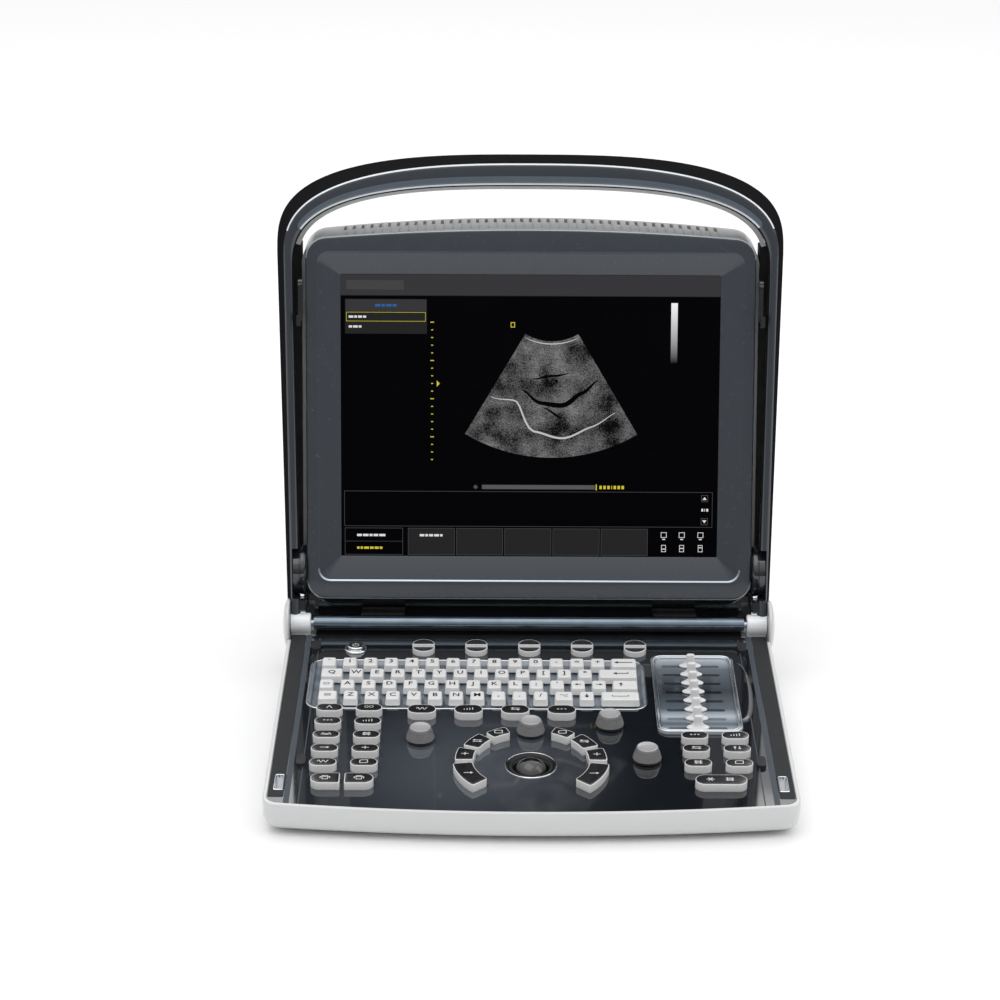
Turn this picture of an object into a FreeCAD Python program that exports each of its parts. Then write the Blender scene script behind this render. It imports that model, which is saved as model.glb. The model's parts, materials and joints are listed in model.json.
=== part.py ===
import FreeCAD, Part
import math
import os

# Portable ultrasound scanner: a thin keyboard base and an upright main unit
# that folds down over it. Millimetres.
#
# Two working frames are used, then everything is moved to the row's frame.
#   deck frame: X right, Y to the rear, Z out of the control deck.
#               Y = 0 is under the hinge axis and Z = 0 is the deck's surface.
#   lid frame:  X right, V up the screen from the hinge axis, D forward of it.

V3 = FreeCAD.Vector

# ---------------------------------------------------------------- dimensions
DECK_SLOPE = 4.0          # deck falls towards the user, degrees
LID_LEAN = 15.7           # screen leans back from the deck's normal, degrees
HINGE_HEIGHT = 5.2        # hinge axis above the deck
GAP = 0.4                 # clearance round moving keys and between nodes

BASE_HALF_WIDTH = 157.0
BASE_FRONT = -235.5       # front edge on the centre line
BASE_SIDE_FRONT = -226.4  # where the bowed front would meet the sides
BASE_BACK = 13.0
BASE_CORNER = 9.0         # radius of the front corners
FRONT_THICKNESS = 17.0    # deck to underside at the front edge
WALL = 2.5
RIM_TOP = 1.0
RIM_WIDTH = 2.4
PANEL_THICKNESS = 3.0
REAR_FOOT_TOP = -16.5
REAR_FOOT_BACK = 64.0
REAR_FOOT_HALF_WIDTH = 146.0
UNDER_INSET = 5.0
EAR_RADIUS = 16.0
EAR_INNER = 155.6
EAR_OUTER = 160.2
SHOULDER_RADIUS = 6.8
SHOULDER_INNER = 142.2
SHOULDER_POST = 4.0       # half depth of the post under each shoulder
SHAFT_RADIUS = 2.5
SHAFT_INNER = 129.0
BARREL_RADIUS = 5.2
BARREL_HALF = 141.2

ARCH_FRONT = 3.2          # D of the arch's front face
ARCH_BACK = -48.0
ARCH_BOTTOM = 6.0
RAIL_FRONT = -30.0        # rails that close the gap beside the main unit
BEZEL_FRONT = -4.4
BEZEL_HALF_WIDTH = 145.2
BEZEL_BOTTOM = 15.4
BEZEL_TOP = 256.8
BEZEL_BACK = -9.6
LCD_HALF_WIDTH = 122.9
LCD_BOTTOM = 43.2
LCD_HEIGHT = 184.3
LCD_FACE = -9.2
HOUSING_FRONT = -28.0
HOUSING_BACK = -60.0
HOUSING_BOTTOM = 9.0
HOUSING_HALF_WIDTH = 149.0
HOUSING_TOP_FRONT = 256.0
HOUSING_TOP_BACK = 262.0

KEY_PITCH = 13.15
KEY_ROW_PITCH = 15.0
KEY_FIRST_ROW = -51.9
KEY_WIDTH = 8.4
KEY_DEPTH = 10.8
KEY_HEIGHT = 6.4
KEY_FLARE = 0.45          # how far a key's skirt spreads beyond its top
STEM_RADIUS = 1.8
WELL_FLOOR = -2.2

SLIDER_COUNT = 8
SLIDER_FIRST = -50.6
SLIDER_PITCH = 11.63
SLIDER_X = 102.5
SLOT_LENGTH = 36.6
SLOT_WIDTH = 3.2
SLIDER_SKIRT = (7.0, 3.4, 1.6)    # half length, half width and height of the flared foot
SLIDER_NECK = (2.6, 1.5, 9.6)     # half length, half width and top of the finger grip
SLIDER_STEM = (1.8, 0.9)          # half length and half width of the blade in the slot
POT_HALF_LENGTH = 20.5

BALL = V3(0.0, -177.8, 0.0)
BALL_RADIUS = 10.8
BALL_SINK = 6.4           # ball centre below the deck
BALL_GAP = 0.8
KNOBS = [(-66.8, -147.2), (0.1, -137.8), (48.6, -128.6), (69.5, -170.6)]
KNOB_BASE_RADIUS = 8.7
KNOB_TOP_RADIUS = 6.3
KNOB_HEIGHT = 9.0

shapes = {}
built_in = {}


def keep(name, shape, frame):
    """Store a node's shape with the frame it was built in."""
    shapes[name] = shape
    built_in[name] = frame


# ---------------------------------------------------------------- small tools
def box(x0, x1, y0, y1, z0, z1):
    return Part.makeBox(x1 - x0, y1 - y0, z1 - z0, V3(x0, y0, z0))


def cylinder(x, y, z0, z1, radius):
    return Part.makeCylinder(radius, z1 - z0, V3(x, y, z0))


def rod_x(x0, x1, y, z, radius):
    return Part.makeCylinder(radius, x1 - x0, V3(x0, y, z), V3(1, 0, 0))


def rod_y(x, y0, y1, z, radius):
    return Part.makeCylinder(radius, y1 - y0, V3(x, y0, z), V3(0, 1, 0))


def span(side, near, far):
    """Two X limits on one side of the centre plane, low one first."""
    return min(side * near, side * far), max(side * near, side * far)


def fused(parts):
    result = parts[0]
    if len(parts) > 1:
        result = result.multiFuse(parts[1:])
    return result.removeSplitter()


def carved(body, tools):
    return body.cut(Part.makeCompound(tools))


def rounded_wire(x0, x1, y0, y1, radius, z):
    """Closed rectangle with round corners, at height z."""
    r = radius
    k = r * (1.0 - math.sqrt(0.5))
    corner = [
        (V3(x1 - r, y0, z), V3(x1 - k, y0 + k, z), V3(x1, y0 + r, z)),
        (V3(x1, y1 - r, z), V3(x1 - k, y1 - k, z), V3(x1 - r, y1, z)),
        (V3(x0 + r, y1, z), V3(x0 + k, y1 - k, z), V3(x0, y1 - r, z)),
        (V3(x0, y0 + r, z), V3(x0 + k, y0 + k, z), V3(x0 + r, y0, z)),
    ]
    edges = []
    for index, points in enumerate(corner):
        edges.append(Part.Arc(*points).toShape())
        start = points[2]
        end = corner[(index + 1) % 4][0]
        if (end - start).Length > 1e-6:
            edges.append(Part.makeLine(start, end))
    return Part.Wire(edges)


def prism(wire, height):
    return Part.Face(wire).extrude(V3(0, 0, height))


def rounded_block(x0, x1, y0, y1, z0, z1, radius):
    return prism(rounded_wire(x0, x1, y0, y1, radius, z0), z1 - z0)


def pad(cx, cy, length, width, z0, z1):
    """Stadium-shaped block with its length along X."""
    radius = width / 2.0 - 0.01
    return rounded_block(cx - length / 2, cx + length / 2, cy - width / 2, cy + width / 2, z0, z1, radius)


def tapered(wire_low, wire_high):
    return Part.makeLoft([wire_low, wire_high], True, True)


# ---------------------------------------------------------------- base outline
def base_outline(inset, z, back):
    """Plan of the base: straight sides, bowed front, round front corners."""
    half = BASE_HALF_WIDTH - inset
    front = BASE_FRONT + inset
    side = BASE_SIDE_FRONT + inset
    corner = BASE_CORNER - inset * 0.5
    rear = back - inset
    left = V3(-half, side + corner, z)
    left_mid = V3(-half + corner * 0.32, side + corner * 0.27, z)
    left_end = V3(-half + corner, side - 0.6, z)
    right_end = V3(half - corner, side - 0.6, z)
    right_mid = V3(half - corner * 0.32, side + corner * 0.27, z)
    right = V3(half, side + corner, z)
    return Part.Wire([
        Part.Arc(left, left_mid, left_end).toShape(),
        Part.Arc(left_end, V3(0, front, z), right_end).toShape(),
        Part.Arc(right_end, right_mid, right).toShape(),
        Part.makeLine(right, V3(half, rear, z)),
        Part.makeLine(V3(half, rear, z), V3(-half, rear, z)),
        Part.makeLine(V3(-half, rear, z), left),
    ])


def underside_height(y):
    """Deck-frame height of the level underside at a given y."""
    return -FRONT_THICKNESS - (y - BASE_FRONT) * math.tan(math.radians(DECK_SLOPE))


def level_outline(inset, lift):
    """The base outline laid in the level plane of the underside."""
    wire = base_outline(inset, 0.0, BASE_BACK)
    wire.rotate(V3(0, 0, 0), V3(1, 0, 0), -DECK_SLOPE)
    wire.translate(V3(0, 0, underside_height(0.0) + lift))
    return wire


def below_underside(lift):
    """Everything under the level plane that is lift above the underside."""
    block = box(-400, 400, -400, 400, -200, 0)
    block.rotate(V3(0, 0, 0), V3(1, 0, 0), -DECK_SLOPE)
    block.translate(V3(0, 0, underside_height(0.0) + lift))
    return block


def base_body(inset, top, lift):
    """Solid of the keyboard base and its rear foot, shrunk by inset."""
    middle = -6.0
    upper = prism(base_outline(inset, middle, BASE_BACK), top - middle)
    lower = tapered(base_outline(inset, middle, BASE_BACK), level_outline(inset + UNDER_INSET, lift))
    half = REAR_FOOT_HALF_WIDTH - inset
    foot = rounded_block(-half, half, -40.0, REAR_FOOT_BACK - inset, -60.0, REAR_FOOT_TOP - inset, 10.0)
    body = fused([upper, lower, foot])
    return body.cut(below_underside(lift))


# ---------------------------------------------------------------- controls
def key_rows():
    """Keyboard rows as lists of (centre x, width)."""
    def plain(first, count):
        return [(first + n * KEY_PITCH, KEY_WIDTH) for n in range(count)]

    return [
        plain(-127.5, 14) + [(60.0, 15.6)],
        [(-125.0, 13.1)] + plain(-109.6, 12) + [(55.8, 23.7)],
        plain(-127.5, 14) + [(59.8, 15.3)],
        [(-126.0, 11.2)] + plain(-111.7, 10) + [(21.1, 10.7), (35.4, 8.6), (56.3, 23.2)],
    ]


def key_cap(x, y, width):
    """A tapered cap with a round stem that reaches the switch mat."""
    half = width / 2
    front = y - KEY_DEPTH / 2
    rear = y + KEY_DEPTH / 2
    low = rounded_wire(x - half - KEY_FLARE, x + half + KEY_FLARE, front - KEY_FLARE, rear + KEY_FLARE,
                       1.8, WELL_FLOOR + 1.6)
    high = rounded_wire(x - half, x + half, front, rear, 1.4, WELL_FLOOR + KEY_HEIGHT)
    stem = cylinder(x, y, -6.2, WELL_FLOOR + 2.0, STEM_RADIUS)
    return fused([tapered(low, high), stem])


SOFT_KEYS = [(-68.0, -29.5), (-34.0, -29.5), (0.1, -29.5), (34.1, -29.5), (68.2, -29.5)]
SOFT_RADIUS = 7.2
MODE_KEYS = [(-66.8, -116.0), (-38.0, -116.0), (-9.2, -116.0), (19.4, -116.0)]
MODE_SIZE = (17.6, 11.4)
LEFT_KEYS = [(x, -114.3 - 17.0 * n) for n in range(5) for x in (-123.8, -99.4)]
SMALL_SIZE = (16.4, 9.4)
PRINT_KEYS = [(-121.4, -201.4), (-101.4, -201.4)]
RIGHT_KEYS = [(x, y) for y in (-147.6, -163.8, -181.4) for x in (99.4, 123.9)]
FREEZE_KEY = (111.7, -201.6)
PRINT_SIZE = (17.6, 12.0)
FREEZE_SIZE = (30.6, 11.8)
POWER = (-111.8, -27.6)
BUMPERS = [(137.4 * s, y) for s in (-1, 1) for y in (-25.2, -174.8)]
BUMPER_SIZE = (5.6, 12.0)
LATCH_X = 148.3
LATCH_Y = -199.0
BUTTON_TOP = 4.7
BUTTON_BOTTOM = -4.4
SOFT_TOP = 5.0            # rear half of the split keys
SOFT_STEP = 2.0           # how much lower their front half is
POWER_RADIUS = 5.6
POWER_TOP = 3.6


def soft_key(spot, grow, z0, z1):
    """Round key whose rear half stands higher than the front half."""
    x, y = spot
    body = cylinder(x, y, z0, z1, SOFT_RADIUS + grow)
    if grow == 0:
        step = box(x - 9, x + 9, y - 9, y - 0.4, z1 - SOFT_STEP, z1 + 1)
        body = body.cut(step)
    return body


def half_key(spot, side, grow, z0, z1):
    """One of the pair of print keys: round outside end, square inside end."""
    x, y = spot
    length = PRINT_SIZE[0] + 2 * grow
    width = PRINT_SIZE[1] + 2 * grow
    stadium = pad(x, y, length, width, z0, z1)
    filler = box(*span(side, 0.0, length / 2), -width / 2, width / 2, z0, z1)
    filler.translate(V3(x, y, 0))
    return fused([stadium, filler])


ARC_SPANS = [(111.0, 130.5), (135.0, 158.0), (162.0, 182.0), (187.0, 223.0)]
ARC_INNER = [33.6, 33.4, 34.2, 35.0]
ARC_OUTER = [42.2, 44.0, 45.4, 47.0]


def ring_spot(radius, angle, side, z):
    """Point round the ball: 90 degrees is behind it, and past 90 goes to the given side."""
    return V3(BALL.x - side * radius * math.cos(angle), BALL.y + radius * math.sin(angle), z)


def arc_key(index, side, grow, z0, z1):
    """Key that follows the trackball ring; index 0 is the rearmost."""
    start, stop = ARC_SPANS[index]
    low = ARC_INNER[index] - grow
    high = ARC_OUTER[index] + grow
    widen = grow / ((low + high) / 2)
    a = math.radians(start) - widen
    b = math.radians(stop) + widen
    mid = (a + b) / 2
    outer = [ring_spot(high, angle, side, z0) for angle in (a, mid, b)]
    inner = [ring_spot(low, angle, side, z0) for angle in (b, mid, a)]
    wire = Part.Wire([
        Part.Arc(*outer).toShape(),
        Part.makeLine(outer[2], inner[0]),
        Part.Arc(*inner).toShape(),
        Part.makeLine(inner[2], outer[0]),
    ])
    return prism(wire, z1 - z0)


def print_keys(grow, z0, z1):
    return [half_key(PRINT_KEYS[0], 1, grow, z0, z1), half_key(PRINT_KEYS[1], -1, grow, z0, z1)]


def button_groups(grow, z0, z1):
    """Every deck button as a block, or its hole when grow is positive."""
    def pads(spots, size):
        return [pad(x, y, size[0] + 2 * grow, size[1] + 2 * grow, z0, z1) for x, y in spots]

    groups = {}
    groups["soft_keys"] = [soft_key(spot, grow, z0, z1 + SOFT_TOP - BUTTON_TOP) for spot in SOFT_KEYS]
    groups["mode_keys"] = pads(MODE_KEYS, MODE_SIZE)
    groups["left_keys"] = pads(LEFT_KEYS, SMALL_SIZE) + print_keys(grow, z0, z1)
    groups["right_keys"] = pads(RIGHT_KEYS, SMALL_SIZE)
    groups["freeze_key"] = pads([FREEZE_KEY], FREEZE_SIZE)
    groups["arc_keys"] = [arc_key(i, side, grow, z0, z1) for side in (-1, 1) for i in range(4)]
    groups["power_button"] = [
        cylinder(POWER[0], POWER[1], z0, z1 + POWER_TOP - BUTTON_TOP, POWER_RADIUS + grow)]
    return groups


def make_keyboard():
    names = ["key_row_1", "key_row_2", "key_row_3", "key_row_4"]
    for index, row in enumerate(key_rows()):
        y = KEY_FIRST_ROW - KEY_ROW_PITCH * index
        caps = [key_cap(x, y, width) for x, width in row]
        keep(names[index], Part.makeCompound(caps), "deck")


def make_buttons():
    for name, solids in button_groups(0.0, BUTTON_BOTTOM, BUTTON_TOP).items():
        keep(name, Part.makeCompound(solids), "deck")


# ---------------------------------------------------------------- base parts
WELL = (-139.5, 73.0, -107.6, -41.6)
TRAY = (77.6, 130.0, -138.4, -37.6)


def well_outline(inset, z):
    x0, x1, y0, y1 = WELL
    return rounded_wire(x0 + inset, x1 - inset, y0 + inset, y1 - inset, 9.0 - inset * 0.6, z)


def tray_outline(inset, z):
    x0, x1, y0, y1 = TRAY
    return rounded_wire(x0 + inset, x1 - inset, y0 + inset, y1 - inset, 7.0 - inset * 0.6, z)


def make_base_shell():
    outer = base_body(0.0, RIM_TOP, 0.0)
    cavity = base_body(WALL, RIM_TOP + 5.0, 2.6)
    shell = outer.cut(cavity)
    behind = box(-141.0, 141.0, -8.0, 30.0, -2.2, 6.0)
    shell = shell.cut(behind)
    roof = box(-BASE_HALF_WIDTH + 1.0, BASE_HALF_WIDTH - 1.0, -8.4, BASE_BACK - 1.0, -5.0, -2.2)
    shell = fused([shell, roof.common(outer)])
    holes = []
    for side in (-1, 1):
        holes.append(rod_x(*span(side, EAR_INNER - 1.3, 165.0), 0.0, HINGE_HEIGHT, EAR_RADIUS + GAP))
        holes.append(box(*span(side, 141.0, 154.4), -8.5, 30.0, -2.2, 6.0))
    for x, y in SCREWS:
        holes.append(cylinder(x, y, -60, 0, 1.6))
        holes.append(cylinder(x, y, -60, underside_height(y) + 1.4, 3.4))
    shell = carved(shell, holes)
    keep("base_shell", shell, "deck")


SCREWS = [(x, y) for x in (-120.0, 0.0, 120.0) for y in (-216.0, -14.0)]
FEET = [(x, y) for x in (-132.0, 132.0) for y in (-196.0, 46.0)]
FOOT_RADIUS = 9.0
FOOT_HEIGHT = 2.5


def make_base_hardware():
    feet = []
    for x, y in FEET:
        foot = cylinder(x, y, -80.0, 0.0, FOOT_RADIUS)
        slab = below_underside(-0.05).cut(below_underside(-FOOT_HEIGHT))
        feet.append(foot.common(slab))
    keep("base_feet", Part.makeCompound(feet), "deck")
    screws = []
    for x, y in SCREWS:
        low = underside_height(y) + 0.4
        screws.append(fused([
            cylinder(x, y, low, low + 0.9, 3.0),
            cylinder(x, y, low + 0.9, low + 9.0, 1.2),
        ]))
    keep("base_screws", Part.makeCompound(screws), "deck")
    pads = []
    half_width, half_length = BUMPER_SIZE[0] / 2, BUMPER_SIZE[1] / 2
    for x, y in BUMPERS:
        pads.append(rounded_block(x - half_width, x + half_width, y - half_length, y + half_length,
                                  0.05, 2.2, half_width - 0.01))
    keep("deck_bumpers", Part.makeCompound(pads), "deck")


def latch_outline(side, inset, z):
    x = side * LATCH_X
    return rounded_wire(x - 4.6 + inset, x + 4.6 - inset, LATCH_Y - 9.0 + inset, LATCH_Y + 9.0 - inset,
                        2.6 - inset * 0.5, z)


def make_panel():
    panel = prism(base_outline(RIM_WIDTH + 0.15, -PANEL_THICKNESS, -6.0), PANEL_THICKNESS)
    tools = [
        prism(well_outline(-0.15, -10), 20),
        prism(tray_outline(-0.15, -10), 20),
        cylinder(BALL.x, BALL.y, -10, 10, 15.4),
        cylinder(POWER[0], POWER[1], -10, 10, 7.6),
    ]
    for side in (-1, 1):
        tools.append(prism(latch_outline(side, -0.15, -10), 20))
    for x, y in KNOBS:
        tools.append(cylinder(x, y, -10, 10, 3.6))
    holes = button_groups(GAP, -10.0, 10.0)
    for name in ("soft_keys", "mode_keys", "left_keys", "right_keys", "freeze_key", "arc_keys"):
        tools += holes[name]
    bosses = []
    for x, y in SCREWS:
        boss = cylinder(x, y, underside_height(y) + 3.0, -1.0, 3.6)
        bosses.append(boss.cut(cylinder(x, y, -60, -4.0, 1.25)))
    keep("control_panel", fused([carved(panel, tools)] + bosses), "deck")


def make_well():
    outer = prism(well_outline(0.0, WELL_FLOOR - 1.5), 1.5 - WELL_FLOOR)
    hollow = tapered(well_outline(3.4, WELL_FLOOR), well_outline(1.0, 0.01))
    tools = [hollow]
    for index, row in enumerate(key_rows()):
        y = KEY_FIRST_ROW - KEY_ROW_PITCH * index
        tools += [cylinder(x, y, -10, 10, STEM_RADIUS + GAP) for x, width in row]
    keep("keyboard_well", carved(outer, tools), "deck")


def slider_y(index):
    return SLIDER_FIRST - SLIDER_PITCH * index


def make_tray():
    outer = prism(tray_outline(0.0, -PANEL_THICKNESS), PANEL_THICKNESS + 1.8)
    hollow = tapered(tray_outline(2.8, 0.6), tray_outline(2.0, 1.9))
    tools = [hollow]
    for index in range(SLIDER_COUNT):
        tools.append(pad(SLIDER_X, slider_y(index), SLOT_LENGTH, SLOT_WIDTH, -10, 10))
    keep("slider_tray", carved(outer, tools), "deck")
    for index in range(SLIDER_COUNT):
        y = slider_y(index)
        skirt = Part.makeCone(1.0, 0.62, SLIDER_SKIRT[2], V3(0, 0, 0))
        stretch = FreeCAD.Matrix()
        stretch.scale(SLIDER_SKIRT[0], SLIDER_SKIRT[1], 1.0)
        skirt = skirt.transformGeometry(stretch)
        skirt.translate(V3(SLIDER_X, y, 1.0))
        a, b, top = SLIDER_NECK
        neck = rounded_block(SLIDER_X - a, SLIDER_X + a, y - b, y + b, 2.4, top, 1.2)
        a, b = SLIDER_STEM
        stem = rounded_block(SLIDER_X - a, SLIDER_X + a, y - b, y + b, -6.0, 1.4, 0.6)
        keep("slider_%d" % (index + 1), fused([skirt, neck, stem]), "deck")
    pots = []
    for index in range(SLIDER_COUNT):
        y = slider_y(index)
        body = box(SLIDER_X - POT_HALF_LENGTH, SLIDER_X + POT_HALF_LENGTH, y - 4.0, y + 4.0, -8.2, -3.4)
        pots.append(body.cut(pad(SLIDER_X, y, SLOT_LENGTH, SLOT_WIDTH, -7.0, 0)))
    keep("slide_pots", Part.makeCompound(pots), "deck")


def make_trackball():
    ball = Part.makeSphere(BALL_RADIUS, V3(BALL.x, BALL.y, -BALL_SINK))
    keep("trackball", ball, "deck")
    ring = cylinder(BALL.x, BALL.y, -0.2, 1.4, 15.1)
    ring = ring.cut(Part.makeCone(10.2, 13.6, 2.4, V3(BALL.x, BALL.y, -0.6)))
    power_ring = cylinder(POWER[0], POWER[1], -PANEL_THICKNESS, 1.6, 7.4)
    power_ring = power_ring.cut(cylinder(POWER[0], POWER[1], -10, 10, POWER_RADIUS + GAP))
    keep("chrome_rings", Part.makeCompound([ring, power_ring]), "deck")
    housing = cylinder(BALL.x, BALL.y, -14.6, -0.4, 15.1)
    housing = housing.cut(Part.makeSphere(BALL_RADIUS + BALL_GAP, V3(BALL.x, BALL.y, -BALL_SINK)))
    housing = housing.cut(cylinder(BALL.x, BALL.y, -BALL_SINK, 2.0, BALL_RADIUS + BALL_GAP))
    keep("trackball_housing", housing, "deck")
    for index, (x, y) in enumerate(KNOBS):
        knob = Part.makeCone(KNOB_BASE_RADIUS, KNOB_TOP_RADIUS, KNOB_HEIGHT, V3(x, y, 0.5))
        dish = Part.makeSphere(14.0, V3(x, y, KNOB_HEIGHT + 0.5 + 12.9))
        knob = knob.cut(dish)
        knob = knob.cut(cylinder(x, y, 0, 6.0, 3.05))
        keep("knob_%d" % (index + 1), knob, "deck")
    encoders = []
    for x, y in KNOBS:
        body = box(x - 6.0, x + 6.0, y - 6.0, y + 6.0, -8.2, -3.4)
        encoders.append(fused([body, cylinder(x, y, -3.5, 5.2, 3.0)]))
    keep("knob_encoders", Part.makeCompound(encoders), "deck")


def make_control_board():
    board = box(-134.0, 134.0, -212.0, -24.0, -10.0, -8.4)
    board = board.cut(cylinder(BALL.x, BALL.y, -20, 0, 15.8))
    cuts = [cylinder(x, y, -20, 0, 4.0) for x, y in SCREWS]
    keep("control_board", carved(board, cuts), "deck")
    domes = []
    for index, row in enumerate(key_rows()):
        y = KEY_FIRST_ROW - KEY_ROW_PITCH * index
        domes += [cylinder(x, y, -8.3, -7.8, 3.6) for x, width in row]
    spots = SOFT_KEYS + MODE_KEYS + LEFT_KEYS + PRINT_KEYS + RIGHT_KEYS + [FREEZE_KEY, POWER]
    domes += [cylinder(x, y, -8.3, -5.8, 3.0) for x, y in spots]
    for side in (-1, 1):
        for index, (start, stop) in enumerate(ARC_SPANS):
            radius = (ARC_INNER[index] + ARC_OUTER[index]) / 2
            spot = ring_spot(radius, math.radians((start + stop) / 2), side, 0.0)
            domes.append(cylinder(spot.x, spot.y, -8.3, -5.8, 2.6))
    keep("switch_domes", Part.makeCompound(domes), "deck")


def make_hinge_base():
    ears = []
    shoulders = []
    shafts = []
    for side in (-1, 1):
        ear = rod_x(*span(side, EAR_INNER, EAR_OUTER), 0.0, HINGE_HEIGHT, EAR_RADIUS)
        ear = ear.common(Part.makeSphere(64.0, V3(side * (EAR_OUTER - 63.9), 0.0, HINGE_HEIGHT)))
        bore = rod_x(*span(side, 130.0, 158.0), 0.0, HINGE_HEIGHT, SHAFT_RADIUS + 0.1)
        ears.append(ear.cut(bore))
        x0, x1 = span(side, SHOULDER_INNER, EAR_INNER - 0.4)
        knuckle = rod_x(x0, x1, 0.0, HINGE_HEIGHT, SHOULDER_RADIUS)
        post = box(x0, x1, -SHOULDER_POST, SHOULDER_POST, -2.0, HINGE_HEIGHT)
        shoulders.append(fused([knuckle, post]).cut(bore))
        shafts.append(rod_x(*span(side, SHAFT_INNER, 157.5), 0.0, HINGE_HEIGHT, SHAFT_RADIUS))
    keep("hinge_ears", Part.makeCompound(ears), "deck")
    keep("hinge_shoulders", Part.makeCompound(shoulders), "deck")
    keep("hinge_shafts", Part.makeCompound(shafts), "deck")
    catches = []
    for side in (-1, 1):
        cup = prism(latch_outline(side, 0.0, -8.0), 8.4)
        catches.append(cup.cut(prism(latch_outline(side, 1.0, -7.2), 10)))
    keep("latch_catches", Part.makeCompound(catches), "deck")


# ---------------------------------------------------------------- lid outlines
def lid_block(x0, x1, v0, v1, d0, d1):
    """Box in the lid frame; D counts forward, so Y is its negative."""
    return box(x0, x1, -d1, -d0, v0, v1)


def arch_wire(half_low, half_high, bottom, shoulder, top, power, d):
    """Upside-down U outline: straight sides and a superellipse top."""
    rise = top - shoulder
    points = []
    steps = 16
    for n in range(steps + 1):
        angle = math.pi * n / steps
        c = math.cos(angle)
        s = math.sin(angle)
        x = half_high * math.copysign(abs(c) ** (2.0 / power), c)
        v = shoulder + rise * abs(s) ** (2.0 / power)
        points.append(V3(x, -d, v))
    curve = Part.BSplineCurve()
    curve.interpolate(points)
    right_low = V3(half_low, -d, bottom)
    left_low = V3(-half_low, -d, bottom)
    return Part.Wire([
        curve.toShape(),
        Part.makeLine(points[-1], left_low),
        Part.makeLine(left_low, right_low),
        Part.makeLine(right_low, points[0]),
    ])


def arch_solid(front, rear):
    return Part.makeLoft([front, rear], True, True)


HUB_V = 33.0
HUB_D = -15.2
HUB_RADIUS = 16.6


def make_arch():
    front_outer = arch_wire(153.2, 156.4, ARCH_BOTTOM, 240.0, 297.2, 2.66, ARCH_FRONT)
    edge_outer = arch_wire(156.0, 159.4, ARCH_BOTTOM, 240.0, 300.0, 2.66, ARCH_FRONT - 4.0)
    rear_outer = arch_wire(161.4, 166.8, ARCH_BOTTOM, 240.0, 303.9, 2.94, ARCH_BACK)
    outer = fused([arch_solid(front_outer, edge_outer), arch_solid(edge_outer, rear_outer)])
    front_inner = arch_wire(149.0, 152.4, 0.0, 230.0, 286.6, 2.92, ARCH_FRONT + 0.5)
    rear_inner = arch_wire(152.0, 156.0, 0.0, 230.0, 289.6, 2.92, ARCH_BACK - 0.5)
    ring = outer.cut(arch_solid(front_inner, rear_inner))
    feet = []
    tools = []
    for side in (-1, 1):
        feet.append(lid_block(*span(side, 145.8, 153.0), ARCH_BOTTOM, 15.6, -14.0, ARCH_FRONT))
        feet.append(rod_x(*span(side, 147.0, 153.4), -LATCH_PIVOT[1], LATCH_PIVOT[0], 1.2))
        feet.append(lid_block(*span(side, HOUSING_HALF_WIDTH + GAP, 156.0), 20.0, 236.0, -46.0, RAIL_FRONT))
        tools.append(rod_x(*span(side, 149.0, 154.8), -HUB_D, HUB_V, HUB_RADIUS + GAP))
        tools.append(rod_x(*span(side, 140.0, EAR_INNER), 0.0, 0.0, SHOULDER_RADIUS + GAP))
        tools.append(rod_x(*span(side, EAR_INNER - GAP, 175.0), 0.0, 0.0, EAR_RADIUS + 0.8))
    ring = carved(fused([ring] + feet), tools)
    keep("arch_frame", ring, "lid")
    liner_outer = arch_wire(148.8, 152.1, 200.0, 230.0, 286.3, 2.92, -20.0)
    liner_rear = arch_wire(151.6, 155.7, 200.0, 230.0, 289.2, 2.92, ARCH_BACK - 4.0)
    hole_front = arch_wire(146.0, 149.3, 100.0, 230.0, 283.6, 2.92, -19.5)
    hole_rear = arch_wire(146.0, 149.8, 100.0, 230.0, 284.6, 2.92, ARCH_BACK - 4.5)
    liner = arch_solid(liner_outer, liner_rear).cut(arch_solid(hole_front, hole_rear))
    liner = liner.common(lid_block(-200, 200, 264.0, 320, -80, 20))
    keep("handle_liner", liner, "lid")


def housing_solid(inset, front, rear):
    """White rear case: flat sides, gently arched top, rounded foot."""
    def outline(d, top, half):
        z0 = HOUSING_BOTTOM + inset
        points = [
            V3(-half, -d, z0 + 4), V3(-half, -d, top - 26), V3(-half + 14, -d, top - 7),
            V3(0, -d, top), V3(half - 14, -d, top - 7), V3(half, -d, top - 26),
            V3(half, -d, z0 + 4), V3(half - 4, -d, z0), V3(-half + 4, -d, z0),
        ]
        k = 14 * 0.3
        return Part.Wire([
            Part.makeLine(points[0], points[1]),
            Part.Arc(points[1], V3(-half + k, -d, top - 12.2), points[2]).toShape(),
            Part.Arc(points[2], points[3], points[4]).toShape(),
            Part.Arc(points[4], V3(half - k, -d, top - 12.2), points[5]).toShape(),
            Part.makeLine(points[5], points[6]),
            Part.makeLine(points[6], points[7]),
            Part.makeLine(points[7], points[8]),
            Part.makeLine(points[8], points[0]),
        ])
    half = HOUSING_HALF_WIDTH - inset
    return Part.makeLoft([
        outline(front, HOUSING_TOP_FRONT - inset, half),
        outline(rear, HOUSING_TOP_BACK - inset, half),
    ], True, True)


VENT_PITCH = 5.8
VENT_COUNT = 43


def fan_guard():
    """Rings and a cross moulded over the fan opening."""
    x, v = FAN
    bars = [lid_block(x - 24.4, x + 24.4, v - 1.0, v + 1.0, -59.0, -57.6),
            lid_block(x - 1.0, x + 1.0, v - 24.4, v + 24.4, -59.0, -57.6)]
    for radius in (8.0, 14.0, 20.0):
        ring = rod_y(x, 57.6, 59.0, v, radius + 1.0)
        bars.append(ring.cut(rod_y(x, 50.0, 60.0, v, radius - 1.0)))
    return fused(bars)


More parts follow.
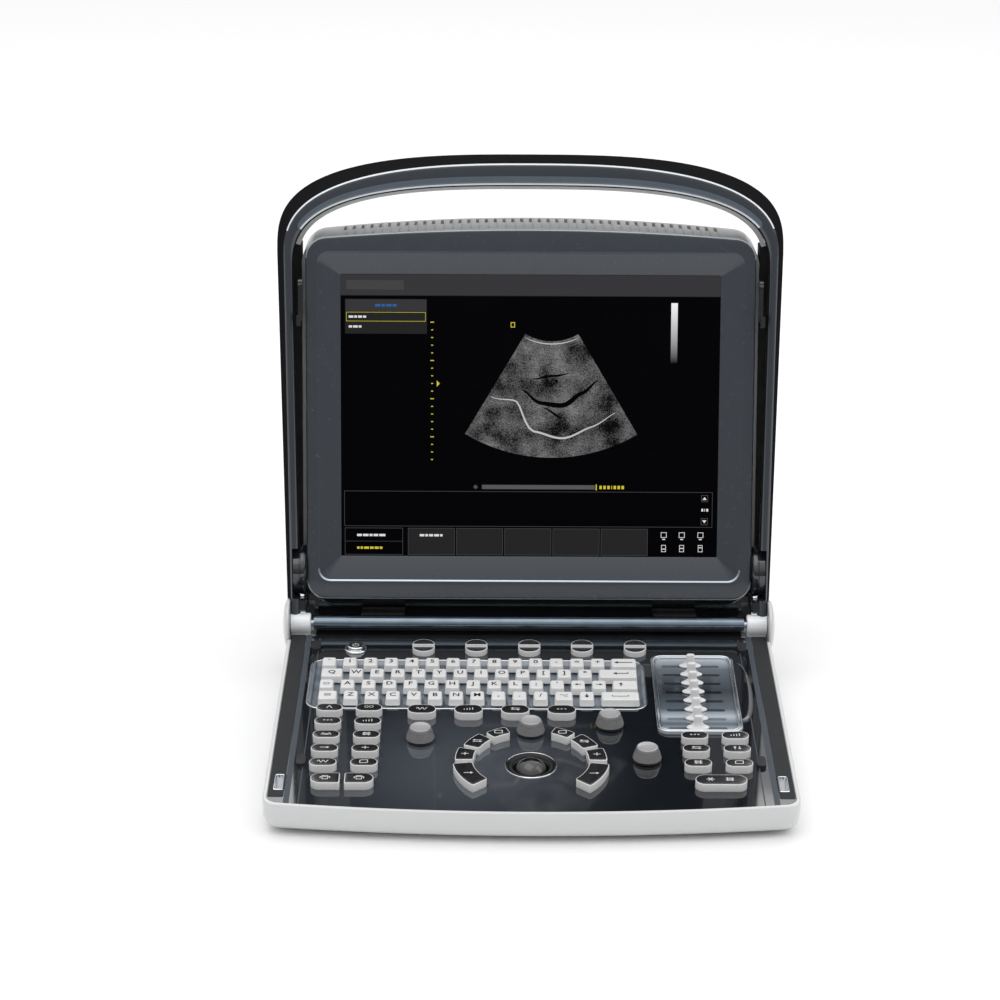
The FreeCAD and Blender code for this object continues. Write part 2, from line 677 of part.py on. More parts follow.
def make_housing():
    outer = housing_solid(0.0, HOUSING_FRONT, HOUSING_BACK)
    inner = housing_solid(WALL, HOUSING_FRONT + 1.0, HOUSING_BACK + WALL)
    shell = outer.cut(inner)
    tools = []
    for n in range(VENT_COUNT):
        x = (n - (VENT_COUNT - 1) / 2.0) * VENT_PITCH
        tools.append(lid_block(x - 1.0, x + 1.0, 248.0, 275.0, -57.0, -47.0))
    tools.append(rod_y(FAN[0], -HOUSING_BACK - 6, -HOUSING_BACK + 6, FAN[1], 24.0))
    x, v = PROBE
    tools.append(lid_block(x - 31, x + 31, v - 15, v + 15, -70, -50))
    x, v = BATTERY
    tools.append(lid_block(x - 45.4, x + 45.4, v - 30.4, v + 30.4, -70, -50))
    for x, v, width, height in PORTS:
        tools.append(lid_block(x - width / 2 - 0.3, x + width / 2 + 0.3, v - height / 2 - 0.3,
                               v + height / 2 + 0.3, -70, -50))
    for x, v in LID_SCREWS:
        tools.append(rod_y(x, -HOUSING_BACK - 5, -HOUSING_BACK + 5, v, 1.6))
        tools.append(rod_y(x, -HOUSING_BACK - 1.3, -HOUSING_BACK + 5, v, 3.4))
    for x in BRACKETS:
        tools.append(lid_block(x - 14.6, x + 14.6, 5.0, 14.0, -32.2, -27.0))
    for side in (-1, 1):
        tools.append(rod_x(*span(side, 143.0, 156.0), -HUB_D, HUB_V, HUB_RADIUS + GAP))
    shell = carved(shell, tools)
    keep("rear_housing", fused([shell, fan_guard()]), "lid")


FAN = (92.0, 200.0)
PROBE = (-88.0, 60.0)
BATTERY = (-78.0, 196.0)
BRACKETS = (-96.0, 96.0)
PORTS = [(20.0, 52.0, 13.2, 5.8), (42.0, 52.0, 13.2, 5.8), (66.0, 52.0, 16.4, 13.6), (92.0, 52.0, 16.0, 5.6)]
LID_SCREWS = [(x, v) for x in (-138.0, 138.0) for v in (28.0, 232.0)] + [(8.0, 28.0), (8.0, 238.0)]


def make_display():
    def face_outline(inset, d):
        half = BEZEL_HALF_WIDTH - inset
        low = BEZEL_BOTTOM + inset
        top = BEZEL_TOP - inset
        r = 10.0 - inset * 0.2
        k = r * 0.29
        drop = 6.6
        points = [
            V3(half, -d, low + r), V3(half, -d, top - drop - r), V3(half - r, -d, top - drop + 0.6),
            V3(0, -d, top), V3(-half + r, -d, top - drop + 0.6), V3(-half, -d, top - drop - r),
            V3(-half, -d, low + r), V3(-half + r, -d, low), V3(half - r, -d, low),
        ]
        return Part.Wire([
            Part.makeLine(points[0], points[1]),
            Part.Arc(points[1], V3(half - k, -d, top - drop - k), points[2]).toShape(),
            Part.Arc(points[2], points[3], points[4]).toShape(),
            Part.Arc(points[4], V3(-half + k, -d, top - drop - k), points[5]).toShape(),
            Part.makeLine(points[5], points[6]),
            Part.Arc(points[6], V3(-half + k, -d, low + k), points[7]).toShape(),
            Part.makeLine(points[7], points[8]),
            Part.Arc(points[8], V3(half - k, -d, low + k), points[0]).toShape(),
        ])
    outer = Part.makeLoft([face_outline(0.0, BEZEL_FRONT), face_outline(0.0, BEZEL_BACK)], True, True)
    screen_front = rounded_wire(-137.6, 137.6, 27.4, 242.2, 6.0, 0.0)
    screen_back = rounded_wire(-LCD_HALF_WIDTH, LCD_HALF_WIDTH, LCD_BOTTOM, LCD_BOTTOM + LCD_HEIGHT, 0.8, 0.0)
    for wire, d in ((screen_front, BEZEL_FRONT + 0.01), (screen_back, LCD_FACE)):
        wire.rotate(V3(0, 0, 0), V3(1, 0, 0), 90)
        wire.translate(V3(0, -d, 0))
    funnel = Part.makeLoft([screen_front, screen_back], True, True)
    window = lid_block(-LCD_HALF_WIDTH, LCD_HALF_WIDTH, LCD_BOTTOM, LCD_BOTTOM + LCD_HEIGHT, -20, LCD_FACE)
    keep("display_bezel", outer.cut(funnel).cut(window), "lid")
    glass = lid_block(-LCD_HALF_WIDTH - 2, LCD_HALF_WIDTH + 2, LCD_BOTTOM - 2, LCD_BOTTOM + LCD_HEIGHT + 2,
                      -17.0, BEZEL_BACK - 0.1)
    keep("lcd_panel", glass, "lid")
    back_outer = Part.makeLoft([face_outline(0.0, BEZEL_BACK - 0.15), face_outline(5.0, -27.6)], True, True)
    back_inner = Part.makeLoft([face_outline(2.5, BEZEL_BACK), face_outline(7.5, -25.2)], True, True)
    posts = []
    for x, v in LID_SCREWS:
        post = rod_y(x, 26.0, 57.2, v, 3.4)
        posts.append(post.cut(rod_y(x, 30.0, 60.0, v, 1.25)))
    chin = rounded_wire(-140.0, 140.0, 6.2, 40.0, 9.0, 0.0)
    chin.rotate(V3(0, 0, 0), V3(1, 0, 0), 90)
    chin.translate(V3(0, 10.4, 0))
    chin = Part.Face(chin).extrude(V3(0, 17.0, 0))
    chin = chin.cut(lid_block(-150, 150, 18.0, 50, -40, 0))
    shell = back_outer.cut(back_inner)
    keep("display_back", fused([shell, chin] + posts), "lid")


def make_lid_hinge():
    bore = SHAFT_RADIUS + 0.05
    tip = BARREL_HALF - BARREL_RADIUS
    slope = math.sqrt(0.5) * BARREL_RADIUS
    profile = [V3(0, 0, BARREL_RADIUS), V3(tip, 0, BARREL_RADIUS), V3(tip + slope, 0, slope),
               V3(tip + math.sqrt(BARREL_RADIUS ** 2 - bore ** 2), 0, bore),
               V3(SHAFT_INNER - 1.0, 0, bore), V3(SHAFT_INNER - 1.0, 0, 0), V3(0, 0, 0)]
    wire = Part.Wire([
        Part.makeLine(profile[0], profile[1]),
        Part.Arc(profile[1], profile[2], profile[3]).toShape(),
        Part.makeLine(profile[3], profile[4]),
        Part.makeLine(profile[4], profile[5]),
        Part.makeLine(profile[5], profile[6]),
        Part.makeLine(profile[6], profile[0]),
    ])
    right_half = Part.Face(wire).revolve(V3(0, 0, 0), V3(1, 0, 0), 360)
    left_half = right_half.mirror(V3(0, 0, 0), V3(1, 0, 0))
    keep("hinge_barrel", fused([right_half, left_half]), "lid")
    brackets = []
    for x in BRACKETS:
        arm = lid_block(x - 14, x + 14, 0.0, 90.0, -31.6, -28.4)
        link = lid_block(x - 14, x + 14, 0.0, 5.0, -31.0, 0.0)
        arm = fused([arm, link])
        brackets.append(arm.cut(rod_x(x - 20, x + 20, 0.0, 0.0, BARREL_RADIUS + 0.1)))
    keep("hinge_brackets", Part.makeCompound(brackets), "lid")
    hubs = [rod_x(*span(side, 145.6, 154.4), -HUB_D, HUB_V, HUB_RADIUS) for side in (-1, 1)]
    keep("display_hubs", Part.makeCompound(hubs), "lid")


LATCH_PIVOT = (222.0, -8.0)
HOOK_X = 148.7


def make_latches():
    """Chrome hook on each side of the screen; it swings about a cross pin."""
    for side, name in ((-1, "latch_left"), (1, "latch_right")):
        x = side * HOOK_X
        v, d = LATCH_PIVOT
        pivot = rod_x(x - 1.4, x + 1.4, -d, v, 3.0)
        bore = rod_x(x - 5, x + 5, -d, v, 1.25)
        arm = lid_block(x - 1.4, x + 1.4, 200.0, 222.0, d - 2.0, d + 2.0)
        tongue = lid_block(x - 1.4, x + 1.4, 198.0, 202.4, d - 2.0, 9.2)
        tip = lid_block(x - 1.4, x + 1.4, 195.2, 202.4, 6.8, 9.2)
        keep(name, fused([pivot, arm, tongue, tip]).cut(bore), "lid")


def make_internals():
    board = lid_block(-20.0, 140.0, 70.0, 160.0, -40.0, -38.4)
    chips = [
        lid_block(20, 60, 95, 135, -44.0, -40.0),
        lid_block(80, 104, 100, 124, -43.0, -40.0),
        lid_block(110, 132, 80, 100, -46.0, -40.0),
        lid_block(-12, 8, 80, 150, -48.0, -40.0),
    ]
    keep("main_board", fused([board] + chips), "lid")
    x, v = BATTERY
    keep("battery_pack", lid_block(x - 44, x + 44, v - 29, v + 29, -56.6, -34.0), "lid")
    door = lid_block(x - 45, x + 45, v - 30, v + 30, HOUSING_BACK, HOUSING_BACK + 2.4)
    grip = []
    for n in range(4):
        groove = v + 20 - 3 * n
        grip.append(lid_block(x - 8, x + 8, groove, groove + 1.2, -70, HOUSING_BACK + 1.0))
    keep("battery_door", carved(door, grip), "lid")
    x, v = FAN
    frame = lid_block(x - 26, x + 26, v - 26, v + 26, -57.2, -42.0)
    frame = frame.cut(rod_y(x, 40.0, 60.0, v, 24.4))
    spokes = [lid_block(x - 25.5, x + 25.5, v - 1.5, v + 1.5, -43.6, -42.0),
              lid_block(x - 1.5, x + 1.5, v - 25.5, v + 25.5, -43.6, -42.0)]
    hub = rod_y(x, 42.0, 43.6, v, 9.0)
    pin = rod_y(x, 43.0, 52.0, v, 1.5)
    keep("fan_housing", fused([frame, hub, pin] + spokes), "lid")
    rotor_hub = rod_y(x, 44.4, 55.0, v, 9.0)
    blades = []
    for n in range(7):
        blade = box(8.4, 22.8, -0.8, 0.8, -5.0, 5.0)
        blade.rotate(V3(15, 0, 0), V3(1, 0, 0), 38)
        blade.rotate(V3(0, 0, 0), V3(0, 0, 1), 360.0 / 7 * n)
        blade.rotate(V3(0, 0, 0), V3(1, 0, 0), 90)
        blade.translate(V3(x, 50.0, v))
        blades.append(blade)
    rotor = fused([rotor_hub] + blades).cut(rod_y(x, 40.0, 52.6, v, 1.55))
    keep("fan_rotor", rotor, "lid")
    x, v = PROBE
    socket = lid_block(x - 30.6, x + 30.6, v - 14.6, v + 14.6, -59.6, -44.0)
    cavity = lid_block(x - 27, x + 27, v - 11, v + 11, -70, -50.0)
    tongue = lid_block(x - 24, x + 24, v - 3.0, v + 3.0, -57.0, -49.0)
    keep("probe_port", fused([socket.cut(cavity), tongue]), "lid")
    ports = []
    for px, pv, width, height in PORTS:
        jack = lid_block(px - width / 2, px + width / 2, pv - height / 2, pv + height / 2, -59.8, -47.0)
        ports.append(jack.cut(lid_block(px - width / 2 + 0.8, px + width / 2 - 0.8, pv - height / 2 + 0.8,
                                        pv + height / 2 - 0.8, -70, -50.0)))
    keep("io_ports", Part.makeCompound(ports), "lid")
    screws = []
    for px, pv in LID_SCREWS:
        head = rod_y(px, 58.75, 59.7, pv, 3.0)
        shank = rod_y(px, 48.0, 58.8, pv, 1.2)
        screws.append(fused([head, shank]))
    keep("lid_screws", Part.makeCompound(screws), "lid")


# ---------------------------------------------------------------- placement
def to_deck(shape):
    """Lid frame (at rest) to deck frame."""
    moved = shape.copy()
    moved.rotate(V3(0, 0, 0), V3(1, 0, 0), -LID_LEAN)
    moved.translate(V3(0, 0, HINGE_HEIGHT))
    return moved


def to_row(shape, shift):
    """Deck frame to the row's frame: level underside, origin at the base of the box."""
    moved = shape.copy()
    moved.rotate(V3(0, 0, 0), V3(1, 0, 0), DECK_SLOPE)
    moved.translate(shift)
    return moved


def main():
    make_keyboard()
    make_buttons()
    make_base_shell()
    make_base_hardware()
    make_panel()
    make_well()
    make_tray()
    make_trackball()
    make_control_board()
    make_hinge_base()
    make_arch()
    make_housing()
    make_display()
    make_lid_hinge()
    make_latches()
    make_internals()
    placed = {}
    for name, shape in shapes.items():
        if built_in[name] == "lid":
            shape = to_deck(shape)
        placed[name] = to_row(shape, V3(0, 0, 0))
    limits = FreeCAD.BoundBox()
    for shape in placed.values():
        limits.add(shape.optimalBoundingBox(False, False))
    shift = V3(0, -(limits.YMin + limits.YMax) / 2, -limits.ZMin)
    os.makedirs("parts", exist_ok=True)
    for name, shape in placed.items():
        shape.translate(shift)
        if len(shape.Solids) == 1:
            shape = shape.Solids[0]
        valid = shape.isValid()
        print("%-20s solids %3d valid %s volume %.0f" % (name, len(shape.Solids), valid, shape.Volume))
        shape.exportStep("parts/%s.step" % name)
    print("SHIFT", shift.y, shift.z)
    print("SIZE", limits.XLength, limits.YLength, limits.ZLength, "nodes", len(placed))


main()
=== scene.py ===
import json
import math

import bpy
from mathutils import Matrix, Vector


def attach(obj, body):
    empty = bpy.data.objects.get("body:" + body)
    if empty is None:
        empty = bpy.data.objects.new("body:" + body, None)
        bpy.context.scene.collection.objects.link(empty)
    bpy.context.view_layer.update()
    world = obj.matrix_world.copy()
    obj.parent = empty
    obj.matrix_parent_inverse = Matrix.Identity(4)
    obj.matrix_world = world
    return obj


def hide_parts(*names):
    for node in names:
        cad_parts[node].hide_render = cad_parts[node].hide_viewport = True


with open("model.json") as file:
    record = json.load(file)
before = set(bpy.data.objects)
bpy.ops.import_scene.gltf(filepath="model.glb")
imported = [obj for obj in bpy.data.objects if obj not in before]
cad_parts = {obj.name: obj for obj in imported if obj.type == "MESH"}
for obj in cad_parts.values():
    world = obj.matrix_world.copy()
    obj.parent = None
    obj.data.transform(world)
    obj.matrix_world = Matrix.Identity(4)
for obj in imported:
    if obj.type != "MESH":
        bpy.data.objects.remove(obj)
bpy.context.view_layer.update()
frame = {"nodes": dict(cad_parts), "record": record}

# ------------------------------------------------------------------ frames
# Deck frame: X right, Y to the rear from the hinge axis, Z out of the deck.
# Lid frame: X right, V up the screen from the hinge axis, D forward of it.
# Both are in millimetres; meshes are baked into the row's frame in metres.
DECK_SLOPE = 4.0
LID_LEAN = 15.7
HINGE_HEIGHT = 5.2

joints = {joint["name"]: joint for joint in frame["record"]["behaviour"]["joints"]}
hinge = Vector(joints["lid_hinge"]["pos_m"])
MM = Matrix.Scale(0.001, 4)
DECK = (Matrix.Translation(hinge) @ Matrix.Rotation(math.radians(DECK_SLOPE), 4, "X")
        @ MM @ Matrix.Translation((0, 0, -HINGE_HEIGHT)))
LID = (Matrix.Translation(hinge) @ Matrix.Rotation(math.radians(DECK_SLOPE - LID_LEAN), 4, "X")
       @ MM)

# ------------------------------------------------------------------ camera
CAMERA_PLACE = (-19.2, -1622.3, 818.9)
CAMERA_DOWN = 24.08
CAMERA_ROLL = -0.26
CAMERA_LENS = 99.8

camera_data = bpy.data.cameras.new("camera")
camera_data.lens = CAMERA_LENS
camera_data.sensor_width = 36.0
camera_data.clip_end = 50.0
camera = bpy.data.objects.new("camera", camera_data)
bpy.context.scene.collection.objects.link(camera)
aim = (Matrix.Rotation(math.radians(90.0 - CAMERA_DOWN), 4, "X")
       @ Matrix.Rotation(math.radians(-CAMERA_ROLL), 4, "Z"))
place = DECK @ Vector(CAMERA_PLACE)
turn = Matrix.Rotation(math.radians(DECK_SLOPE), 4, "X")
camera.matrix_world = Matrix.Translation(place) @ turn @ aim
bpy.context.scene.camera = camera


# ------------------------------------------------------------------ materials
def material(name, colour, roughness, metallic=0.0, coat=0.0, coat_roughness=0.05, specular=0.5):
    """A principled material; returns it with its node tree and shader node."""
    made = bpy.data.materials.new(name)
    made.use_nodes = True
    tree = made.node_tree
    shader = tree.nodes["Principled BSDF"]
    shader.inputs["Base Color"].default_value = (*colour, 1.0)
    shader.inputs["Roughness"].default_value = roughness
    shader.inputs["Metallic"].default_value = metallic
    shader.inputs["Coat Weight"].default_value = coat
    shader.inputs["Coat Roughness"].default_value = coat_roughness
    shader.inputs["Specular IOR Level"].default_value = specular
    return made, tree, shader


def add_noise(tree, scale, detail=3.0):
    coords = tree.nodes.new("ShaderNodeTexCoord")
    texture = tree.nodes.new("ShaderNodeTexNoise")
    texture.inputs["Scale"].default_value = scale
    texture.inputs["Detail"].default_value = detail
    tree.links.new(coords.outputs["Object"], texture.inputs["Vector"])
    return texture.outputs["Fac"]


def vary(tree, factor, socket, low, high):
    """Drive a number socket between two values by a factor."""
    spread = tree.nodes.new("ShaderNodeMapRange")
    spread.inputs["From Min"].default_value = 0.3
    spread.inputs["From Max"].default_value = 0.7
    spread.inputs["To Min"].default_value = low
    spread.inputs["To Max"].default_value = high
    tree.links.new(factor, spread.inputs["Value"])
    tree.links.new(spread.outputs["Result"], socket)


def tint(tree, factor, socket, dark, light):
    """Drive a colour socket between two colours by a factor."""
    mix = tree.nodes.new("ShaderNodeMix")
    mix.data_type = "RGBA"
    mix.inputs["A"].default_value = (*dark, 1.0)
    mix.inputs["B"].default_value = (*light, 1.0)
    tree.links.new(factor, mix.inputs["Factor"])
    tree.links.new(mix.outputs["Result"], socket)


GRAIN_SCALE = 1800.0
GRAIN_DEPTH = 0.00005


def grain(tree, shader, strength):
    """Fine surface bump."""
    bump = tree.nodes.new("ShaderNodeBump")
    bump.inputs["Strength"].default_value = strength
    bump.inputs["Distance"].default_value = GRAIN_DEPTH
    tree.links.new(add_noise(tree, GRAIN_SCALE, 2.0), bump.inputs["Height"])
    tree.links.new(bump.outputs["Normal"], shader.inputs["Normal"])


def colour_ramp(tree, factor, socket, stops):
    """Drive a colour socket through (position, colour) stops."""
    ramp = tree.nodes.new("ShaderNodeValToRGB")
    while len(ramp.color_ramp.elements) < len(stops):
        ramp.color_ramp.elements.new(0.5)
    for element, (position, colour) in zip(ramp.color_ramp.elements, stops):
        element.position = position
        element.color = (*colour, 1.0)
    tree.links.new(factor, ramp.inputs["Fac"])
    tree.links.new(ramp.outputs["Color"], socket)


def along(tree, axis, low, high):
    """Factor from 0 to 1 between two places on an axis."""
    coords = tree.nodes.new("ShaderNodeTexCoord")
    split = tree.nodes.new("ShaderNodeSeparateXYZ")
    reach = tree.nodes.new("ShaderNodeMapRange")
    reach.inputs["From Min"].default_value = low
    reach.inputs["From Max"].default_value = high
    tree.links.new(coords.outputs["Object"], split.inputs[0])
    tree.links.new(split.outputs[axis], reach.inputs["Value"])
    return reach.outputs["Result"]


def plastic(name, dark, light, smooth, rough, coat=0.0, bump=0.0, scale=60.0, specular=0.5):
    made, tree, shader = material(name, light, smooth, coat=coat, specular=specular)
    tint(tree, add_noise(tree, scale), shader.inputs["Base Color"], dark, light)
    vary(tree, add_noise(tree, scale * 3.0), shader.inputs["Roughness"], smooth, rough)
    if bump:
        grain(tree, shader, bump)
    return made


def metal(name, dark, light, smooth, rough, scale=90.0):
    made, tree, shader = material(name, light, smooth, metallic=1.0)
    tint(tree, add_noise(tree, scale), shader.inputs["Base Color"], dark, light)
    vary(tree, add_noise(tree, scale * 2.0), shader.inputs["Roughness"], smooth, rough)
    return made


WHITE = plastic("white_shell", (0.665, 0.67, 0.675), (0.675, 0.68, 0.685), 0.28, 0.29, coat=0.3)
SHOULDER = plastic("bright_shoulder", (0.90, 0.93, 0.96), (0.94, 0.96, 0.98), 0.08, 0.12, coat=1.0)
SLATE = plastic("slate_gloss", (0.030, 0.037, 0.047), (0.034, 0.041, 0.052), 0.16, 0.20, coat=0.5)
ARCH_SIDE = plastic("arch_side", (0.010, 0.010, 0.011), (0.014, 0.014, 0.015), 0.55, 0.65, specular=0.0)
# Painted highlight line and painted sheen on the arch's front: a pale colour and a lighter slate.
ARCH_HIGHLIGHT = plastic("arch_painted_highlight", (0.72, 0.76, 0.80), (0.80, 0.83, 0.86), 0.12, 0.18, coat=0.8)
ARCH_PAINTED_SHEEN = plastic("arch_painted_sheen", (0.075, 0.095, 0.120), (0.095, 0.118, 0.145), 0.14, 0.20, coat=0.6)
# Grey painted as the shade beside the vent ribs and in the vent slots.
VENT_SHADE = plastic("vent_painted_shade", (0.52, 0.52, 0.53), (0.57, 0.57, 0.58), 0.4, 0.5)
BEZEL = plastic("bezel_slate", (0.034, 0.042, 0.053), (0.038, 0.046, 0.058), 0.22, 0.28, coat=0.35)
WELL_GLOSS = plastic("well_gloss", (0.03, 0.04, 0.055), (0.32, 0.37, 0.43), 0.06, 0.09, coat=1.0, scale=90.0)
BLACK_MATTE = plastic("black_matte", (0.010, 0.010, 0.011), (0.018, 0.018, 0.020), 0.45, 0.6, bump=0.2)
DARK_GLOSS = plastic("dark_gloss", (0.008, 0.010, 0.014), (0.012, 0.014, 0.019), 0.07, 0.10, coat=1.0)
KEY_WHITE = plastic("key_white", (0.80, 0.80, 0.80), (0.87, 0.87, 0.87), 0.30, 0.40, coat=0.15, bump=0.05)
KEY_BLACK = plastic("key_black", (0.012, 0.012, 0.014), (0.020, 0.020, 0.023), 0.22, 0.30, coat=0.5)
RUBBER = plastic("dark_rubber", (0.012, 0.013, 0.018), (0.022, 0.023, 0.030), 0.5, 0.7, bump=0.25)
KNOB = plastic("knob_grey", (0.17, 0.17, 0.175), (0.21, 0.21, 0.215), 0.18, 0.24, coat=0.8)
KNOB_TOP = plastic("knob_top", (0.40, 0.40, 0.41), (0.46, 0.46, 0.47), 0.16, 0.22, coat=0.6)
BALL_GLOSS = plastic("ball_gloss", (0.006, 0.006, 0.007), (0.010, 0.010, 0.011), 0.05, 0.08, coat=1.0)
CHROME = metal("chrome", (0.78, 0.80, 0.83), (0.90, 0.91, 0.93), 0.08, 0.14)
BAR_STEEL = metal("bar_steel", (0.11, 0.135, 0.165), (0.22, 0.27, 0.32), 0.10, 0.16, scale=70.0)
# Painted highlight lines on the bezel: pale blue on its outer rounding, pale steel along the bottom of its
# inner lip.
BEZEL_EDGE_HIGHLIGHT = plastic("bezel_edge_painted_highlight", (0.60, 0.70, 0.78), (0.66, 0.75, 0.82), 0.14, 0.20, coat=0.6)
LIP_HIGHLIGHT_STEEL = metal("lip_painted_highlight_steel", (0.52, 0.60, 0.68), (0.62, 0.70, 0.78), 0.12, 0.18)
STEEL = metal("steel", (0.42, 0.43, 0.45), (0.58, 0.59, 0.61), 0.28, 0.38)
BOARD = plastic("circuit_board", (0.02, 0.10, 0.05), (0.03, 0.16, 0.07), 0.3, 0.5)
SILICONE = plastic("silicone", (0.45, 0.46, 0.48), (0.55, 0.56, 0.58), 0.4, 0.6)
INK = plastic("key_print", (0.004, 0.004, 0.005), (0.007, 0.007, 0.008), 0.5, 0.6, specular=0.1)
BALL_DISH = plastic("ball_dish", (0.004, 0.005, 0.006), (0.006, 0.007, 0.008), 0.30, 0.36, specular=0.3)
STRIP_GREY = plastic("strip_grey", (0.032, 0.034, 0.037), (0.036, 0.038, 0.041), 0.45, 0.50, specular=0.08)
STRIP_BLUE = plastic("strip_blue", (0.060, 0.072, 0.090), (0.070, 0.082, 0.100), 0.35, 0.40, specular=0.15)
PALE_INK = plastic("pale_print", (0.70, 0.70, 0.70), (0.82, 0.82, 0.82), 0.4, 0.5)


def glowing(name, colour, strength):
    """Screen pixels: a lit colour."""
    made, tree, shader = material(name, (0.0, 0.0, 0.0), 0.25, specular=0.0)
    shader.inputs["Emission Strength"].default_value = strength
    tint(tree, add_noise(tree, 900.0), shader.inputs["Emission Color"],
         tuple(c * 0.92 for c in colour), colour)
    return made


DECK_DARK = (0.010, 0.012, 0.015)
# Colour, middle and reach of the deck's painted sheen.
DECK_PAINTED_SHEEN = (0.070, 0.080, 0.096)
PAINTED_SHEEN_PLACE = (-45.0, -178.0, 0.0)
PAINTED_SHEEN_REACH = 0.125


def deck_material():
    """Black gloss with a broad soft painted sheen left of the ball: the base colour lightens towards one
    place and fades back to black with distance.
    """
    made, tree, shader = material("deck_gloss", DECK_DARK, 0.05, coat=1.0)
    coords = tree.nodes.new("ShaderNodeTexCoord")
    gap = tree.nodes.new("ShaderNodeVectorMath")
    gap.operation = "DISTANCE"
    gap.inputs[1].default_value = DECK @ Vector(PAINTED_SHEEN_PLACE)
    reach = tree.nodes.new("ShaderNodeMapRange")
    reach.interpolation_type = "SMOOTHSTEP"
    reach.inputs["From Min"].default_value = 0.0
    reach.inputs["From Max"].default_value = PAINTED_SHEEN_REACH
    tree.links.new(coords.outputs["Object"], gap.inputs[0])
    tree.links.new(gap.outputs["Value"], reach.inputs["Value"])
    tint(tree, reach.outputs["Result"], shader.inputs["Base Color"], DECK_PAINTED_SHEEN, DECK_DARK)
    vary(tree, add_noise(tree, 180.0), shader.inputs["Roughness"], 0.045, 0.06)
    return made


DECK_BLACK = deck_material()


def reflection_bands(name, stops, low, high):
    """Smooth gloss with bands of painted reflection across the deck, between two deck-frame Y values."""
    made, tree, shader = material(name, (0.1, 0.1, 0.1), 0.10, coat=1.0)
    ends = [(DECK @ Vector((0.0, y, 0.0))).y for y in (low, high)]
    colour_ramp(tree, along(tree, "Y", *ends), shader.inputs["Base Color"], stops)
    vary(tree, add_noise(tree, 200.0), shader.inputs["Roughness"], 0.08, 0.12)
    return made


# Stops of the painted reflection bands on the slider tray's floor.
PALE_REFLECTION = (0.50, 0.56, 0.62)
MID_REFLECTION = (0.12, 0.145, 0.175)
DARK_BETWEEN_REFLECTIONS = (0.035, 0.043, 0.055)
TRAY_PAINTED_REFLECTIONS = reflection_bands("tray_floor_painted_reflections", ((0.0, PALE_REFLECTION), (0.10, MID_REFLECTION), (0.20, PALE_REFLECTION), (0.30, MID_REFLECTION),
                                   (0.55, DARK_BETWEEN_REFLECTIONS), (0.85, MID_REFLECTION), (1.0, PALE_REFLECTION)), -136.0, -40.0)
SCREEN_BLACK = plastic("screen_black", (0.0015, 0.0015, 0.002), (0.003, 0.003, 0.004), 0.16, 0.20,
                       specular=0.0)
UI_WHITE = glowing("ui_white", (0.75, 0.75, 0.75), 1.0)
UI_GREY = glowing("ui_grey", (0.16, 0.16, 0.17), 0.6)
UI_BAR = glowing("ui_bar", (0.045, 0.045, 0.048), 0.9)
UI_YELLOW = glowing("ui_yellow", (0.72, 0.60, 0.05), 0.9)


# ------------------------------------------------------------------ mesh tools
LETTER_DEPTH = 0.02
CUT_SHARP = 30.0


class Shape:
    """Collects faces in millimetres of one working frame, then becomes one object."""

    def __init__(self, frame_matrix):
        self.frame = frame_matrix
        self.verts = []
        self.faces = []
        self.slots = []

    def stack(self, rings, slot=0, cap_low=True, cap_high=True, side_slots=None):
        """Skin closed rings that have the same number of points; side_slots colours each side apart."""
        start = len(self.verts)
        count = len(rings[0])
        for ring in rings:
            self.verts.extend(ring)
        for level in range(len(rings) - 1):
            low = start + level * count
            high = low + count
            for i in range(count):
                j = (i + 1) % count
                self.faces.append((low + i, low + j, high + j, high + i))
                self.slots.append(side_slots[i] if side_slots else slot)
        if cap_low:
            self.faces.append(tuple(start + i for i in reversed(range(count))))
            self.slots.append(slot)
        if cap_high:
            last = start + (len(rings) - 1) * count
            self.faces.append(tuple(last + i for i in range(count)))
            self.slots.append(slot)

    def block(self, x0, x1, y0, y1, z0, z1, slot=0):
        low = [(x0, y0, z0), (x1, y0, z0), (x1, y1, z0), (x0, y1, z0)]
        self.stack([low, [(x, y, z1) for x, y, z in low]], slot)

    def join_text(self, text, x, y, z, size, slot, bold):
        """Flat lettering with a hair of thickness; centred on a point."""
        curve = bpy.data.curves.new("lettering", "FONT")
        curve.body = text
        curve.size = size
        curve.align_x = "CENTER"
        curve.align_y = "CENTER"
        curve.extrude = LETTER_DEPTH
        curve.offset = bold
        curve.resolution_u = 2
        letters = bpy.data.objects.new("lettering", curve)
        mesh = bpy.data.meshes.new_from_object(letters)
        start = len(self.verts)
        self.verts.extend(tuple(v.co + Vector((x, y, z))) for v in mesh.vertices)
        for polygon in mesh.polygons:
            self.faces.append(tuple(start + i for i in polygon.vertices))
            self.slots.append(slot)
        bpy.data.objects.remove(letters)
        bpy.data.curves.remove(curve)
        bpy.data.meshes.remove(mesh)

    def finish(self, name, materials, body, slot_name, replaces=(), sharp=35.0):
        mesh = bpy.data.meshes.new(name)
        mesh.from_pydata([tuple(v) for v in self.verts], [], self.faces)
        for item in materials:
            mesh.materials.append(item)
        mesh.polygons.foreach_set("material_index", self.slots)
        mesh.transform(self.frame)
        mesh.validate()
        mesh.update()
        mesh.shade_smooth()
        mesh.set_sharp_from_angle(angle=math.radians(sharp))
        piece = bpy.data.objects.new(name, mesh)
        bpy.context.scene.collection.objects.link(piece)
        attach(piece, body)
        if replaces:
            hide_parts(*replaces)
        return piece


def even_angles(count):
    return [2 * math.pi * n / count for n in range(count)]


def quarter(steps, first=0):
    """(1 - cos, 1 - sin) at even angles from 0 to 90 degrees, for rounded edges."""
    angles = [math.radians(90.0 * n / steps) for n in range(first, steps + 1)]
    return [(1 - math.cos(a), 1 - math.sin(a)) for a in angles]


